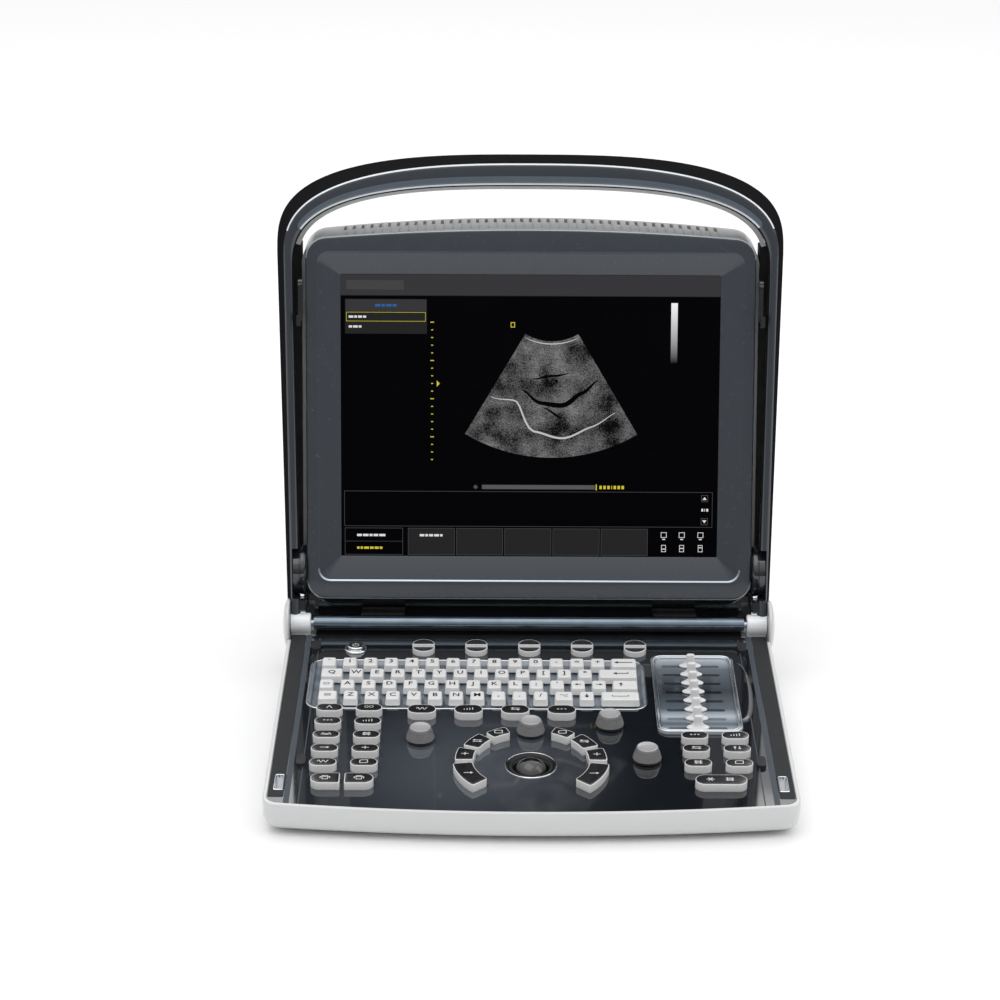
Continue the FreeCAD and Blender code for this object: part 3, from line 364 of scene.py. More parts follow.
def arc(x, y, radius, start, sweep, steps):
    """Points along part of a circle; angles in degrees."""
    angles = [math.radians(start + sweep * n / steps) for n in range(steps + 1)]
    return [(x + radius * math.cos(a), y + radius * math.sin(a)) for a in angles]


def rounded_loop(x0, x1, y0, y1, radius, steps):
    """Points of a rectangle with round corners."""
    points = []
    radius = max(radius, 0.001)
    corners = [(x1 - radius, y0 + radius, -90), (x1 - radius, y1 - radius, 0),
               (x0 + radius, y1 - radius, 90), (x0 + radius, y0 + radius, 180)]
    for cx, cy, start in corners:
        points += arc(cx, cy, radius, start, 90.0, steps)
    return points


def circle_loop(x, y, radius, count):
    return [(x + radius * math.cos(a), y + radius * math.sin(a)) for a in even_angles(count)]


def at_height(loop, z):
    return [(x, y, z) for x, y in loop]


def paint(node, made):
    """Give every slot of a CAD node one procedural material."""
    piece = frame["nodes"][node]
    for slot in piece.material_slots:
        slot.material = made
    if not piece.material_slots:
        piece.data.materials.append(made)


def carve(piece, cutters):
    """Cut closed shapes out of a piece and keep the result as its mesh."""
    tools = []
    for shape in cutters:
        mesh = bpy.data.meshes.new("cutter")
        mesh.from_pydata([tuple(v) for v in shape.verts], [], shape.faces)
        mesh.transform(shape.frame)
        tool = bpy.data.objects.new("cutter", mesh)
        bpy.context.scene.collection.objects.link(tool)
        tools.append(tool)
        cut = piece.modifiers.new("cut", "BOOLEAN")
        cut.operation = "DIFFERENCE"
        cut.solver = "EXACT"
        cut.object = tool
    bpy.context.view_layer.update()
    depsgraph = bpy.context.evaluated_depsgraph_get()
    result = bpy.data.meshes.new_from_object(piece.evaluated_get(depsgraph))
    piece.modifiers.clear()
    piece.data = result
    for tool in tools:
        bpy.data.objects.remove(tool)
    result.shade_smooth()
    result.set_sharp_from_angle(angle=math.radians(CUT_SHARP))


def turned_x(shape, profile, v=0.0, d=0.0, count=48):
    """Solid turned about a line across the lid frame; profile holds (x, radius) pairs."""
    shape.stack([[(x, -(d + r * math.cos(a)), v + r * math.sin(a)) for a in even_angles(count)]
                 for x, r in profile])


def turned_deck(shape, profile, count=48):
    """Solid turned about the hinge line in the deck frame."""
    shape.stack([[(x, r * math.cos(a), HINGE_HEIGHT + r * math.sin(a)) for a in even_angles(count)]
                 for x, r in profile])


def turned(x, y, profile, count):
    """Rings of level circles about a deck-frame point; profile holds (radius, z) pairs."""
    return [at_height(circle_loop(x, y, radius, count), z) for radius, z in profile]


def lid_box(shape, x0, x1, v0, v1, d0, d1, slot=0):
    shape.block(x0, x1, -d1, -d0, v0, v1, slot)


# ------------------------------------------------------------------ carry arch
ARCH_FRONT = 3.2
ARCH_BACK = -48.0
EDGE_D = -0.8
EDGE_ROUND = 4.0
EDGE_OUTER = (156.0, 159.4, 240.0, 300.0, 2.66)
REAR_OUTER = (161.4, 166.8, 240.0, 303.9, 2.94)
FRONT_INNER = (149.0, 152.4, 230.0, 284.4, 2.92)
REAR_INNER = (152.0, 156.0, 230.0, 287.4, 2.92)
ARCH_FOOT = 6.0


def blended(a, b, factor):
    return tuple(p + (q - p) * factor for p, q in zip(a, b))


def outer_profile(d, inset=0.0):
    factor = (EDGE_D - d) / (EDGE_D - ARCH_BACK)
    half_low, half_high, shoulder, top, power = blended(EDGE_OUTER, REAR_OUTER, factor)
    return (half_low - inset, half_high - inset, shoulder, top - inset, power)


def inner_profile(d, outset=0.0):
    factor = (ARCH_FRONT - d) / (ARCH_FRONT - ARCH_BACK)
    half_low, half_high, shoulder, top, power = blended(FRONT_INNER, REAR_INNER, factor)
    return (half_low + outset, half_high + outset, shoulder, top + outset, power)


def arch_point(profile, station, foot):
    """Point of an upside-down U. Stations run from the right foot over the top to the left foot."""
    half_low, half_high, shoulder, top, power = profile
    part, t = station
    if part == "top":
        c = math.cos(t)
        s = math.sin(t)
        x = half_high * math.copysign(abs(c) ** (2.0 / power), c)
        return (x, shoulder + (top - shoulder) * abs(s) ** (2.0 / power))
    x = half_low + (half_high - half_low) * t
    return (x if part == "right" else -x, foot + (shoulder - foot) * t)


def arch_stations(side_steps, top_steps):
    stations = [("right", n / side_steps) for n in range(side_steps)]
    stations += [("top", math.pi * n / top_steps) for n in range(top_steps + 1)]
    stations += [("left", 1.0 - n / side_steps) for n in range(1, side_steps + 1)]
    return stations


def swept_arch(shape, section, stations, foot, side_slots=None):
    """Sweep a closed section, given as (profile, d) pairs, along the arch."""
    rings = []
    for station in stations:
        ring = []
        for profile, d in section:
            x, v = arch_point(profile, station, foot)
            ring.append((x, -d, v))
        rings.append(ring)
    shape.stack(rings, side_slots=side_slots)


HIGHLIGHT_START = 258.0
INNER_ROUND = 3.4
INNER_STEPS = 8
# Material of each side of the cross-section; the sides after these are all 1. Slot 2 paints highlight lines
# on the inner and outer front edges, and slot 3 a lighter sheen band near the inner front edge: painted
# highlight and painted sheen.
SECTION_SLOTS = [0, 0, 0, 1, 1, 1, 1, 2, 2, 3, 3, 3, 0, 0, 0, 2, 2]


def arch_section():
    """Cross-section from the back of the opening round the front edge to the back of the outside."""
    section = [(inner_profile(d), d) for d in (ARCH_BACK, -30.0, -12.0)]
    for outward, back in quarter(INNER_STEPS):
        d = ARCH_FRONT - INNER_ROUND * back
        section.append((inner_profile(d, INNER_ROUND * outward), d))
    section.append((blended(section[-1][0], outer_profile(EDGE_D, 3.0), 0.35), ARCH_FRONT))
    for back, out in quarter(8):
        d = ARCH_FRONT - EDGE_ROUND * back
        section.append((outer_profile(min(d, EDGE_D), 3.0 * out), d))
    section += [(outer_profile(d), d) for d in (-2.4, -14.0, -32.0)]
    for inward, back in quarter(5):
        d = ARCH_BACK + 1.2 * back
        section.append((outer_profile(d, 1.2 * inward), d))
    return section


HUB_V = 33.0
HUB_D = -15.2
HUB_RADIUS = 16.6
HUB_PROFILE = ((145.7, 15.4), (146.3, 16.2), (147.2, 16.6), (149.2, 16.6), (149.5, 16.3), (150.0, 16.3),
               (150.3, 16.6), (154.0, 16.6))
SHOULDER_RADIUS = 6.8
POCKET_SPAN = (147.0, 154.8)
HUB_FRONT_SPAN = (147.0, 154.4)
EAR_SPAN = (155.2, 175.0)
KNUCKLE_SPAN = (140.0, 155.6)
RAIL_SPAN = (149.4, 155.4)
FOOT_SPAN = (146.0, 150.4)
EAR_RADIUS = 16.0


def both_sides(near, far):
    return [(near, far), (-far, -near)]


def build_arch():
    shape = Shape(LID)
    section = arch_section()
    side_slots = SECTION_SLOTS + [1] * (len(section) - len(SECTION_SLOTS))
    swept_arch(shape, section, arch_stations(14, 72), ARCH_FOOT, side_slots)
    # Slots 2 and 3, the painted highlight and painted sheen, are kept to the top of the arch; lower down
    # those sides take slot 0.
    for index, face in enumerate(shape.faces):
        if shape.slots[index] > 1 and shape.verts[face[0]][2] < HIGHLIGHT_START:
            shape.slots[index] = 0
    pockets = Shape(LID)
    fronts = Shape(LID)
    ears = Shape(LID)
    knuckles = Shape(LID)
    rails = Shape(LID)
    feet = Shape(LID)
    hubs = Shape(LID)
    for x0, x1 in both_sides(*POCKET_SPAN):
        turned_x(pockets, [(x0, HUB_RADIUS + 0.4), (x1, HUB_RADIUS + 0.4)], HUB_V, HUB_D, 96)
    for x0, x1 in both_sides(*HUB_FRONT_SPAN):
        lid_box(fronts, x0, x1, HUB_V - HUB_RADIUS, HUB_V + HUB_RADIUS, HUB_D, 8.0)
    for x0, x1 in both_sides(*EAR_SPAN):
        turned_x(ears, [(x0, EAR_RADIUS + 0.8), (x1, EAR_RADIUS + 0.8)], count=96)
    for x0, x1 in both_sides(*KNUCKLE_SPAN):
        turned_x(knuckles, [(x0, SHOULDER_RADIUS + 0.4), (x1, SHOULDER_RADIUS + 0.4)], count=64)
    piece = shape.finish("carry_arch", [SLATE, ARCH_SIDE, ARCH_HIGHLIGHT, ARCH_PAINTED_SHEEN], "lid", "slate_gloss",
                         ["arch_frame"])
    carve(piece, [pockets, fronts, ears, knuckles])
    for x0, x1 in both_sides(*RAIL_SPAN):
        lid_box(rails, x0, x1, 20.0, 247.0, -46.0, -30.0)
    rails.finish("arch_rails", [BLACK_MATTE], "lid", "black_matte")
    foot = [(-2.6, 15.4), (-2.6, 8.8), (-1.4, 7.6), (13.0, 7.6), (13.8, 8.6), (13.8, 15.4)]
    for x0, x1 in both_sides(*FOOT_SPAN):
        feet.stack([[(x, y, v) for y, v in foot] for x in (x0, x1)])
    feet.finish("arch_feet", [DARK_GLOSS], "lid", "slate_gloss")
    for side in (-1, 1):
        turned_x(hubs, [(side * x, radius) for x, radius in HUB_PROFILE], HUB_V, HUB_D, 96)
    hubs.finish("screen_hubs", [DARK_GLOSS], "lid", "barrel_gloss", ["display_hubs"])


def build_liner():
    """White grip surface inside the handle opening."""
    shape = Shape(LID)
    front = -14.0
    back = -53.0
    section = [(inner_profile(back, -3.4), back), (inner_profile(front, -3.2), front + 0.6),
               (inner_profile(front, -2.6), front + 1.2), (inner_profile(front, -0.3), front + 1.2),
               (inner_profile(back, -0.3), back + 0.8), (inner_profile(back, -2.0), back - 0.4)]
    stations = [("top", math.pi * n / 72) for n in range(4, 69)]
    swept_arch(shape, section, stations, 0.0)
    shape.finish("grip_liner", [WHITE], "lid", "white_shell", ["handle_liner"])


# ------------------------------------------------------------------ display
BEZEL_FRONT = -4.4
LCD_FACE = -9.2
LCD_HALF = 122.9
LCD_LOW = 43.2
LCD_HIGH = 227.5
# Half width, low edge, high edge, low corner radius, bow of the top and depth, from the back.
BACK_PROFILE = ((140.6, 6.4, 248.4, 20.0, 5.6, -27.4), (140.8, 6.5, 248.6, 20.0, 5.6, -23.0),
                (141.4, 7.0, 249.0, 19.0, 5.8, -19.0), (142.4, 8.2, 249.6, 17.0, 6.0, -15.5),
                (143.8, 10.4, 250.0, 15.0, 6.2, -12.5), (144.6, 13.4, 250.0, 13.0, 6.4, -10.5),
                (144.8, 15.5, 250.0, 12.0, 6.4, -9.75))


def screen_loop(half, low, high, low_radius, high_radius, bow):
    """Loop for the display: round corners with their own radii and a bowed top."""
    points = []
    x_low = half - low_radius
    x_high = half - high_radius
    for index, (cx, cy, radius, start) in enumerate((
            (x_low, low + low_radius, low_radius, -90), (x_high, high - high_radius, high_radius, 0),
            (-x_high, high - high_radius, high_radius, 90), (-x_low, low + low_radius, low_radius, 180))):
        points += arc(cx, cy, radius, start, 90.0, 8)
        if index == 1:
            points += [(cx - 2 * x_high * n / 24, high) for n in range(1, 24)]
    lifted = []
    for x, v in points:
        if v > (low + high) / 2:
            v += bow * (1.0 - (x / half) ** 2) * min(1.0, max(0.0, (v - high + 40.0) / 40.0))
        lifted.append((x, v))
    return lifted


def at_depth(loop, d):
    return [(x, -d, v) for x, v in loop]


def lcd_loop(grow, radius):
    return screen_loop(LCD_HALF + grow, LCD_LOW - grow, LCD_HIGH + grow, radius, radius, 0.0)


def build_display():
    def outer(inset):
        return screen_loop(145.2 - inset, 15.4 + inset, 250.4 - inset, 12.0, 12.0, 6.4)

    rings = [at_depth(outer(0.0), -9.6)]
    for inward, back in quarter(5):
        rings.append(at_depth(outer(1.5 * inward), BEZEL_FRONT - 1.5 * back))
    for half, low, high, radius, drop in ((137.9, 27.1, 242.5, 8.0, 0.0), (137.5, 27.5, 242.1, 7.8, 0.12),
                                          (136.9, 28.1, 241.5, 7.4, 0.45)):
        rings.append(at_depth(screen_loop(half, low, high, radius, radius, 0.0), BEZEL_FRONT - drop))
    for grow, radius, depth in ((0.5, 0.9, 0.35), (0.0, 0.8, 0.1), (0.0, 0.8, -0.4)):
        rings.append(at_depth(lcd_loop(grow, radius), LCD_FACE + depth))
    count = len(rings[0])
    # Slot 1 paints a highlight line along the bottom of the inner lip, and slot 2 a highlight line round the
    # outer rounding.
    lip_highlight_slots = [1 if i < 8 or i >= count - 9 else 0 for i in range(count)]
    rim_highlight_slots = [0 if i in (8, count - 10) else 2 for i in range(count)]
    bezel = Shape(LID)
    bezel.stack(rings[:2], 0, True, False)
    bezel.stack(rings[1:5], 0, False, False, side_slots=rim_highlight_slots)
    bezel.stack(rings[4:8], 0, False, False)
    bezel.stack(rings[7:10], 0, False, False, side_slots=lip_highlight_slots)
    bezel.stack(rings[9:], 0, False, True)
    bezel.finish("screen_bezel", [BEZEL, LIP_HIGHLIGHT_STEEL, BEZEL_EDGE_HIGHLIGHT], "lid", "slate_gloss", ["display_bezel"],
                 sharp=28.0)
    back = Shape(LID)
    back.stack([at_depth(screen_loop(half, low, high, low_radius, 12.0, bow), d)
                for half, low, high, low_radius, bow, d in BACK_PROFILE])
    lid_box(back, -147.6, 147.6, -6.0, 15.0, -27.0, -22.0)
    back.finish("screen_back", [DARK_GLOSS], "lid", "black_matte", ["display_back"])
    glass = Shape(LID)
    loop = lcd_loop(-0.05, 0.7)
    glass.stack([at_depth(loop, LCD_FACE - 0.3), at_depth(loop, LCD_FACE + 0.02)])
    glass.finish("screen_face", [SCREEN_BLACK], "lid", "screen_glass", ["lcd_panel"])


build_arch()
build_liner()
build_display()


# ------------------------------------------------------------------ hinge
BAR_RADIUS = 5.2
BAR_HALF = 140.4
BAR_END = 4.6
KNUCKLE_PROFILE = ((142.2, 5.9), (142.8, 6.6), (143.6, 6.8), (155.2, 6.8))
EAR_PROFILE = ((155.7, 15.2), (156.2, 15.9), (157.4, 16.0), (158.4, 15.2), (159.2, 13.0), (159.9, 9.0),
               (160.15, 4.0))


def build_hinge():
    profile = []
    for inward, back in quarter(9):
        profile.append((-BAR_HALF + BAR_END * back, max(0.05, BAR_RADIUS * (1 - back ** 2) ** 0.5)))
    profile += [(-x, r) for x, r in reversed(profile)]
    bar = Shape(LID)
    turned_x(bar, profile)
    bar.finish("hinge_bar", [BAR_STEEL], "lid", "barrel_gloss", ["hinge_barrel"])
    knuckles = Shape(DECK)
    ears = Shape(DECK)
    for side in (-1, 1):
        turned_deck(knuckles, [(side * x, r) for x, r in KNUCKLE_PROFILE])
        knuckles.block(*sorted((side * 142.6, side * 155.0)), -4.0, 4.0, -2.0, HINGE_HEIGHT)
        turned_deck(ears, [(side * x, r) for x, r in EAR_PROFILE], 64)
    knuckles.finish("hinge_knuckles", [SHOULDER], "base", "chrome", ["hinge_shoulders"])
    ears.finish("hinge_covers", [WHITE], "base", "white_shell", ["hinge_ears"])


build_hinge()

# ------------------------------------------------------------------ base
LATCH_SLOT = (148.5, -199.0)
BASE_HALF = 157.0
BASE_FRONT = -235.5
BASE_SIDE_FRONT = -226.4
BASE_BACK = 13.0
FRONT_THICKNESS = 17.0
FOOT_TOP = -16.5
BALL = (0.0, -177.8)


def underside(y):
    return -FRONT_THICKNESS - (y - BASE_FRONT) * math.tan(math.radians(DECK_SLOPE))


def base_loop(inset):
    """Plan of the base: bowed front with round corners, straight sides."""
    half = BASE_HALF - inset
    front = BASE_FRONT + inset
    side = BASE_SIDE_FRONT + inset
    rear = BASE_BACK - inset
    radius = max(1.0, 9.0 - inset * 0.5)
    span = half - radius
    low = side + radius
    points = arc(-span, low, radius, 180, 90.0, 10)
    for n in range(1, 32):
        x = -span + 2 * span * n / 32
        points.append((x, side - (side - front) * (1 - (x / span) ** 2)))
    points += arc(span, low, radius, 270, 90.0, 10)
    points += [(half, low + (rear - low) * n / 12) for n in range(1, 13)]
    points += [(half - 2 * half * n / 12, rear) for n in range(1, 12)]
    points += [(-half, low + (rear - low) * n / 12) for n in range(12, 0, -1)]
    return points


def foot_loop(inset):
    return rounded_loop(-146.0 + inset, 146.0 - inset, 0.0, 64.0 - inset, 10.0 - inset * 0.5, 8)


def sloping(loop, top, share):
    """A loop placed part of the way from a level down to the sloping underside."""
    return [(x, y, top + (underside(y) - top) * share) for x, y in loop]


def build_base():
    shape = Shape(DECK)
    rings = [sloping(base_loop(inset), -5.0, share)
             for inset, share in ((7.6, 1.0), (5.6, 1.0), (3.0, 0.86), (1.2, 0.66), (0.25, 0.42))]
    rings += [at_height(base_loop(0.0), z) for z in (-4.0, 0.0)]
    for inward, drop in quarter(4, 1):
        rings.append(at_height(base_loop(inward), 1.0 - drop))
    rings += [at_height(base_loop(inset), z) for inset, z in ((2.0, 1.0), (2.4, 0.55), (2.5, -2.9))]
    shape.stack(rings)
    piece = shape.finish("base_body", [WHITE], "base", "white_shell", ["base_shell"])
    trough = Shape(DECK)
    trough.block(-200, 200, -8.5, 40, -2.2, 20)
    clear = Shape(DECK)
    for x0, x1 in both_sides(154.4, 170.0):
        turned_deck(clear, [(x0, 16.4), (x1, 16.4)], 64)
    pits = Shape(DECK)
    for side in (-1, 1):
        x, y = side * LATCH_SLOT[0], LATCH_SLOT[1]
        pits.block(x - 2.9, x + 2.9, y - 9.1, y + 9.1, -8.2, 4.0)
    pits.stack(turned(*BALL, [(12.4, -18.4), (12.4, 4.0)], 48))
    carve(piece, [trough, clear, pits])
    gutter = Shape(DECK)
    gutter.block(-139.0, 139.0, -8.4, 12.4, -2.4, -1.9)
    gutter.finish("hinge_gutter", [BLACK_MATTE], "base", "black_gloss")
    foot = Shape(DECK)
    rings = [sloping(foot_loop(inset), FOOT_TOP, share)
             for inset, share in ((4.0, 1.0), (1.4, 0.93), (0.2, 0.8))]
    for inward, down in quarter(4):
        rings.append(at_height(foot_loop(2.5 * inward), FOOT_TOP - 2.5 * down))
    foot.stack(rings)
    foot.finish("rear_foot", [WHITE], "base", "white_shell")


build_base()
PAINTS = (
    (DECK_BLACK, ("control_panel",)),
    (WHITE, ("rear_housing", "battery_door")),
    (DARK_GLOSS, ("latch_left", "latch_right")),
    (RUBBER, ("base_feet", "deck_bumpers")),
    (BOARD, ("control_board", "main_board")),
    (SILICONE, ("switch_domes",)),
    (STEEL, ("base_screws", "lid_screws", "knob_encoders", "hinge_shafts", "io_ports")),
    (BLACK_MATTE, ("slide_pots", "trackball_housing", "hinge_brackets", "battery_pack", "fan_housing",
                   "fan_rotor", "probe_port")),
    (WELL_GLOSS, ("keyboard_well",)),
    (TRAY_PAINTED_REFLECTIONS, ("slider_tray",)),
)
for made, nodes in PAINTS:
    for node in nodes:
        paint(node, made)


# ------------------------------------------------------------------ vents
VENT_PITCH = 5.8
VENT_COUNT = 43
SHADE_STRIP_HALF = 0.45
STRIP_LENGTH = 11.6


def housing_top(x, d):
    """Height of the rear case's arched top at a place across and behind the screen."""
    return 256.0 + 6.0 * (-28.0 - d) / 32.0 - 7.0 * (x / 135.0) ** 2


def build_vents():
    """Grey strips between the slots on top of the case, and a grey strip under the slots: painted shade of
    the vent ribs and of the slots.
    """
    shade_marks = Shape(LID)
    for n in range(VENT_COUNT):
        x = (n - (VENT_COUNT - 1) / 2.0) * VENT_PITCH + 1.5
        x0 = x - SHADE_STRIP_HALF
        x1 = x + SHADE_STRIP_HALF
        rings = []
        for d in (-33.0, -57.5):
            low = housing_top(x, d) - 0.4
            high = housing_top(x, d) + 0.35
            rings.append([(x0, -d, low), (x1, -d, low), (x1, -d, high), (x0, -d, high)])
        shade_marks.stack(rings)
    for n in range(-11, 11):
        x0 = STRIP_LENGTH * n
        x1 = STRIP_LENGTH * (n + 1)
        low = min(housing_top(x0, -47.0), housing_top(x1, -47.0)) - 3.4
        lid_box(shade_marks, x0, x1 - 0.02, low, low + 0.4, -57.2, -46.8)
    shade_marks.finish("vent_shade_strips", [VENT_SHADE], "lid", "white_shell")


build_vents()

# ------------------------------------------------------------------ screen picture
FILM = LCD_FACE + 0.06


def film_box(shape, x0, x1, v0, v1, slot=0, lift=0.0, thick=0.06):
    shape.block(x0, x1, -FILM - lift - thick, -FILM - lift, v0, v1, slot)


def film_frame(shape, x0, x1, v0, v1, line, slot=0, lift=0.0):
    film_box(shape, x0, x1, v0, v0 + line, slot, lift)
    film_box(shape, x0, x1, v1 - line, v1, slot, lift)
    film_box(shape, x0, x0 + line, v0 + line, v1 - line, slot, lift)
    film_box(shape, x1 - line, x1, v0 + line, v1 - line, slot, lift)


def film_strip(shape, points, width, slot=0, lift=0.0):
    """Thin ribbon along a path of (x, v) points; width may be a number or a function of 0..1."""
    count = len(points)
    front = []
    for n, (x, v) in enumerate(points):
        before = points[max(0, n - 1)]
        after = points[min(count - 1, n + 1)]
        dx = after[0] - before[0]
        dv = after[1] - before[1]
        length = math.hypot(dx, dv) or 1.0
        half = (width(n / (count - 1.0)) if callable(width) else width) / 2.0
        nx = -dv / length * half
        nv = dx / length * half
        front.append(((x + nx, v + nv), (x - nx, v - nv)))
    rings = []
    top = -FILM - lift - 0.08
    low = -FILM - lift
    for (ax, av), (bx, bv) in front:
        rings.append([(ax, low, av), (bx, low, bv), (bx, top, bv), (ax, top, av)])
    shape.stack(rings, slot)


SCAN_APEX = (13.9, 218.0)
SCAN_NEAR = 33.5
SCAN_FAR = 109.5
SCAN_HALF = 30.8
SCALE_SPAN = (170.4, 209.6)
# Bright and dark bands in the scan: distances along the band, first and last angle, width, slot.
ECHOES = (
    ((35.5, 35.2, 35.5), -29.5, 29.5, 0.7, 2),
    ((38.6, 38.2, 38.6), -29.5, 29.5, 0.5, 3),
    ((80.0, 76.0, 93.0, 97.0, 93.0, 90.0), -29.5, 27.5, 1.3, 2),
    ((68.0, 74.0, 75.5, 70.0, 66.0), -16.0, 27.0, 3.2, 1),
    ((59.0, 56.0, 55.5), -12.0, 12.0, 1.6, 1),
    ((77.0, 84.0), -4.0, 6.0, 1.4, 1),
)


def scan_point(radius, degrees):
    a = math.radians(degrees)
    return (SCAN_APEX[0] + radius * math.sin(a), SCAN_APEX[1] - radius * math.cos(a))


def scan_material():
    """Grey speckle of a scan."""
    made, tree, shader = material("ui_scan", (0.0, 0.0, 0.0), 0.3, specular=0.0)
    mixed = tree.nodes.new("ShaderNodeMath")
    mixed.operation = "MULTIPLY"
    tree.links.new(add_noise(tree, 1400.0, 6.0), mixed.inputs[0])
    tree.links.new(add_noise(tree, 70.0, 4.0), mixed.inputs[1])
    colour_ramp(tree, mixed.outputs[0], shader.inputs["Emission Color"],
                ((0.16, (0.004, 0.004, 0.004)), (0.42, (0.22, 0.22, 0.22))))
    shader.inputs["Emission Strength"].default_value = 1.0
    return made


def scale_material():
    """Grey scale bar that fades downwards."""
    made, tree, shader = material("ui_scale", (0.0, 0.0, 0.0), 0.3, specular=0.0)
    ends = [(LID @ Vector((0.0, -LCD_FACE, v))).z for v in SCALE_SPAN]
    colour_ramp(tree, along(tree, "Z", *ends), shader.inputs["Emission Color"],
                ((0.0, (0.0, 0.0, 0.0)), (1.0, (0.9, 0.9, 0.9))))
    shader.inputs["Emission Strength"].default_value = 1.0
    return made


UI_SCAN = scan_material()
UI_SCALE = scale_material()
UI_BRIGHT_ECHO = glowing("ui_echo", (0.55, 0.55, 0.55), 1.0)
UI_MENU = glowing("ui_menu", (0.020, 0.020, 0.021), 1.0)
UI_LINE = glowing("ui_line", (0.06, 0.06, 0.062), 1.0)
UI_BLUE = glowing("ui_blue", (0.03, 0.12, 0.35), 1.0)


def build_scan():
    picture = Shape(LID)
    radii = [SCAN_NEAR + (SCAN_FAR - SCAN_NEAR) * r / 12.0 for r in range(13)]
    angles = [-SCAN_HALF + 2 * SCAN_HALF * n / 32.0 for n in range(33)]
    outline = [scan_point(SCAN_NEAR, angle) for angle in angles]
    outline += [scan_point(radius, SCAN_HALF) for radius in radii[1:]]
    outline += [scan_point(SCAN_FAR, angle) for angle in angles[-2::-1]]
    outline += [scan_point(radius, -SCAN_HALF) for radius in radii[-2:0:-1]]
    count = len(outline)
    picture.verts.extend((x, -FILM - 0.06, v) for x, v in outline)
    picture.verts.extend((x, -FILM, v) for x, v in outline)
    for i in range(count):
        j = (i + 1) % count
        picture.faces.append((i, j, count + j, count + i))
    picture.faces.append(tuple(range(count)))
    picture.faces.append(tuple(count + i for i in reversed(range(count))))
    picture.slots += [0] * (count + 2)

    def echo(radii, a0, a1, width, slot):
        path = []
        steps = 28
        for n in range(steps + 1):
            t = n / steps
            k = t * (len(radii) - 1)
            i = min(int(k), len(radii) - 2)
            f = k - i
            f = f * f * (3 - 2 * f)
            path.append(scan_point(radii[i] + (radii[i + 1] - radii[i]) * f, a0 + (a1 - a0) * t))
        film_strip(picture, path, width, slot, 0.08)

    def taper(width):
        return lambda t: width * (0.25 + 0.75 * math.sin(math.pi * t))

    for radii, a0, a1, width, slot in ECHOES:
        echo(radii, a0, a1, taper(width), slot)
    film_strip(picture, [(16.0 + 2.2 * n / 6.0, 158.6) for n in range(7)], taper(2.2), 1, 0.16)
    picture.finish("scan_picture", [UI_SCAN, SCREEN_BLACK, UI_BRIGHT_ECHO, UI_GREY], "lid", "screen_glass")


def word(shape, x, v, widths, height, slot, lift=0.1):
    """Stand-in for a word: a row of small blocks."""
    for width in widths:
        film_box(shape, x, x + width, v - height / 2, v + height / 2, slot, lift)
        x += width + height * 0.45


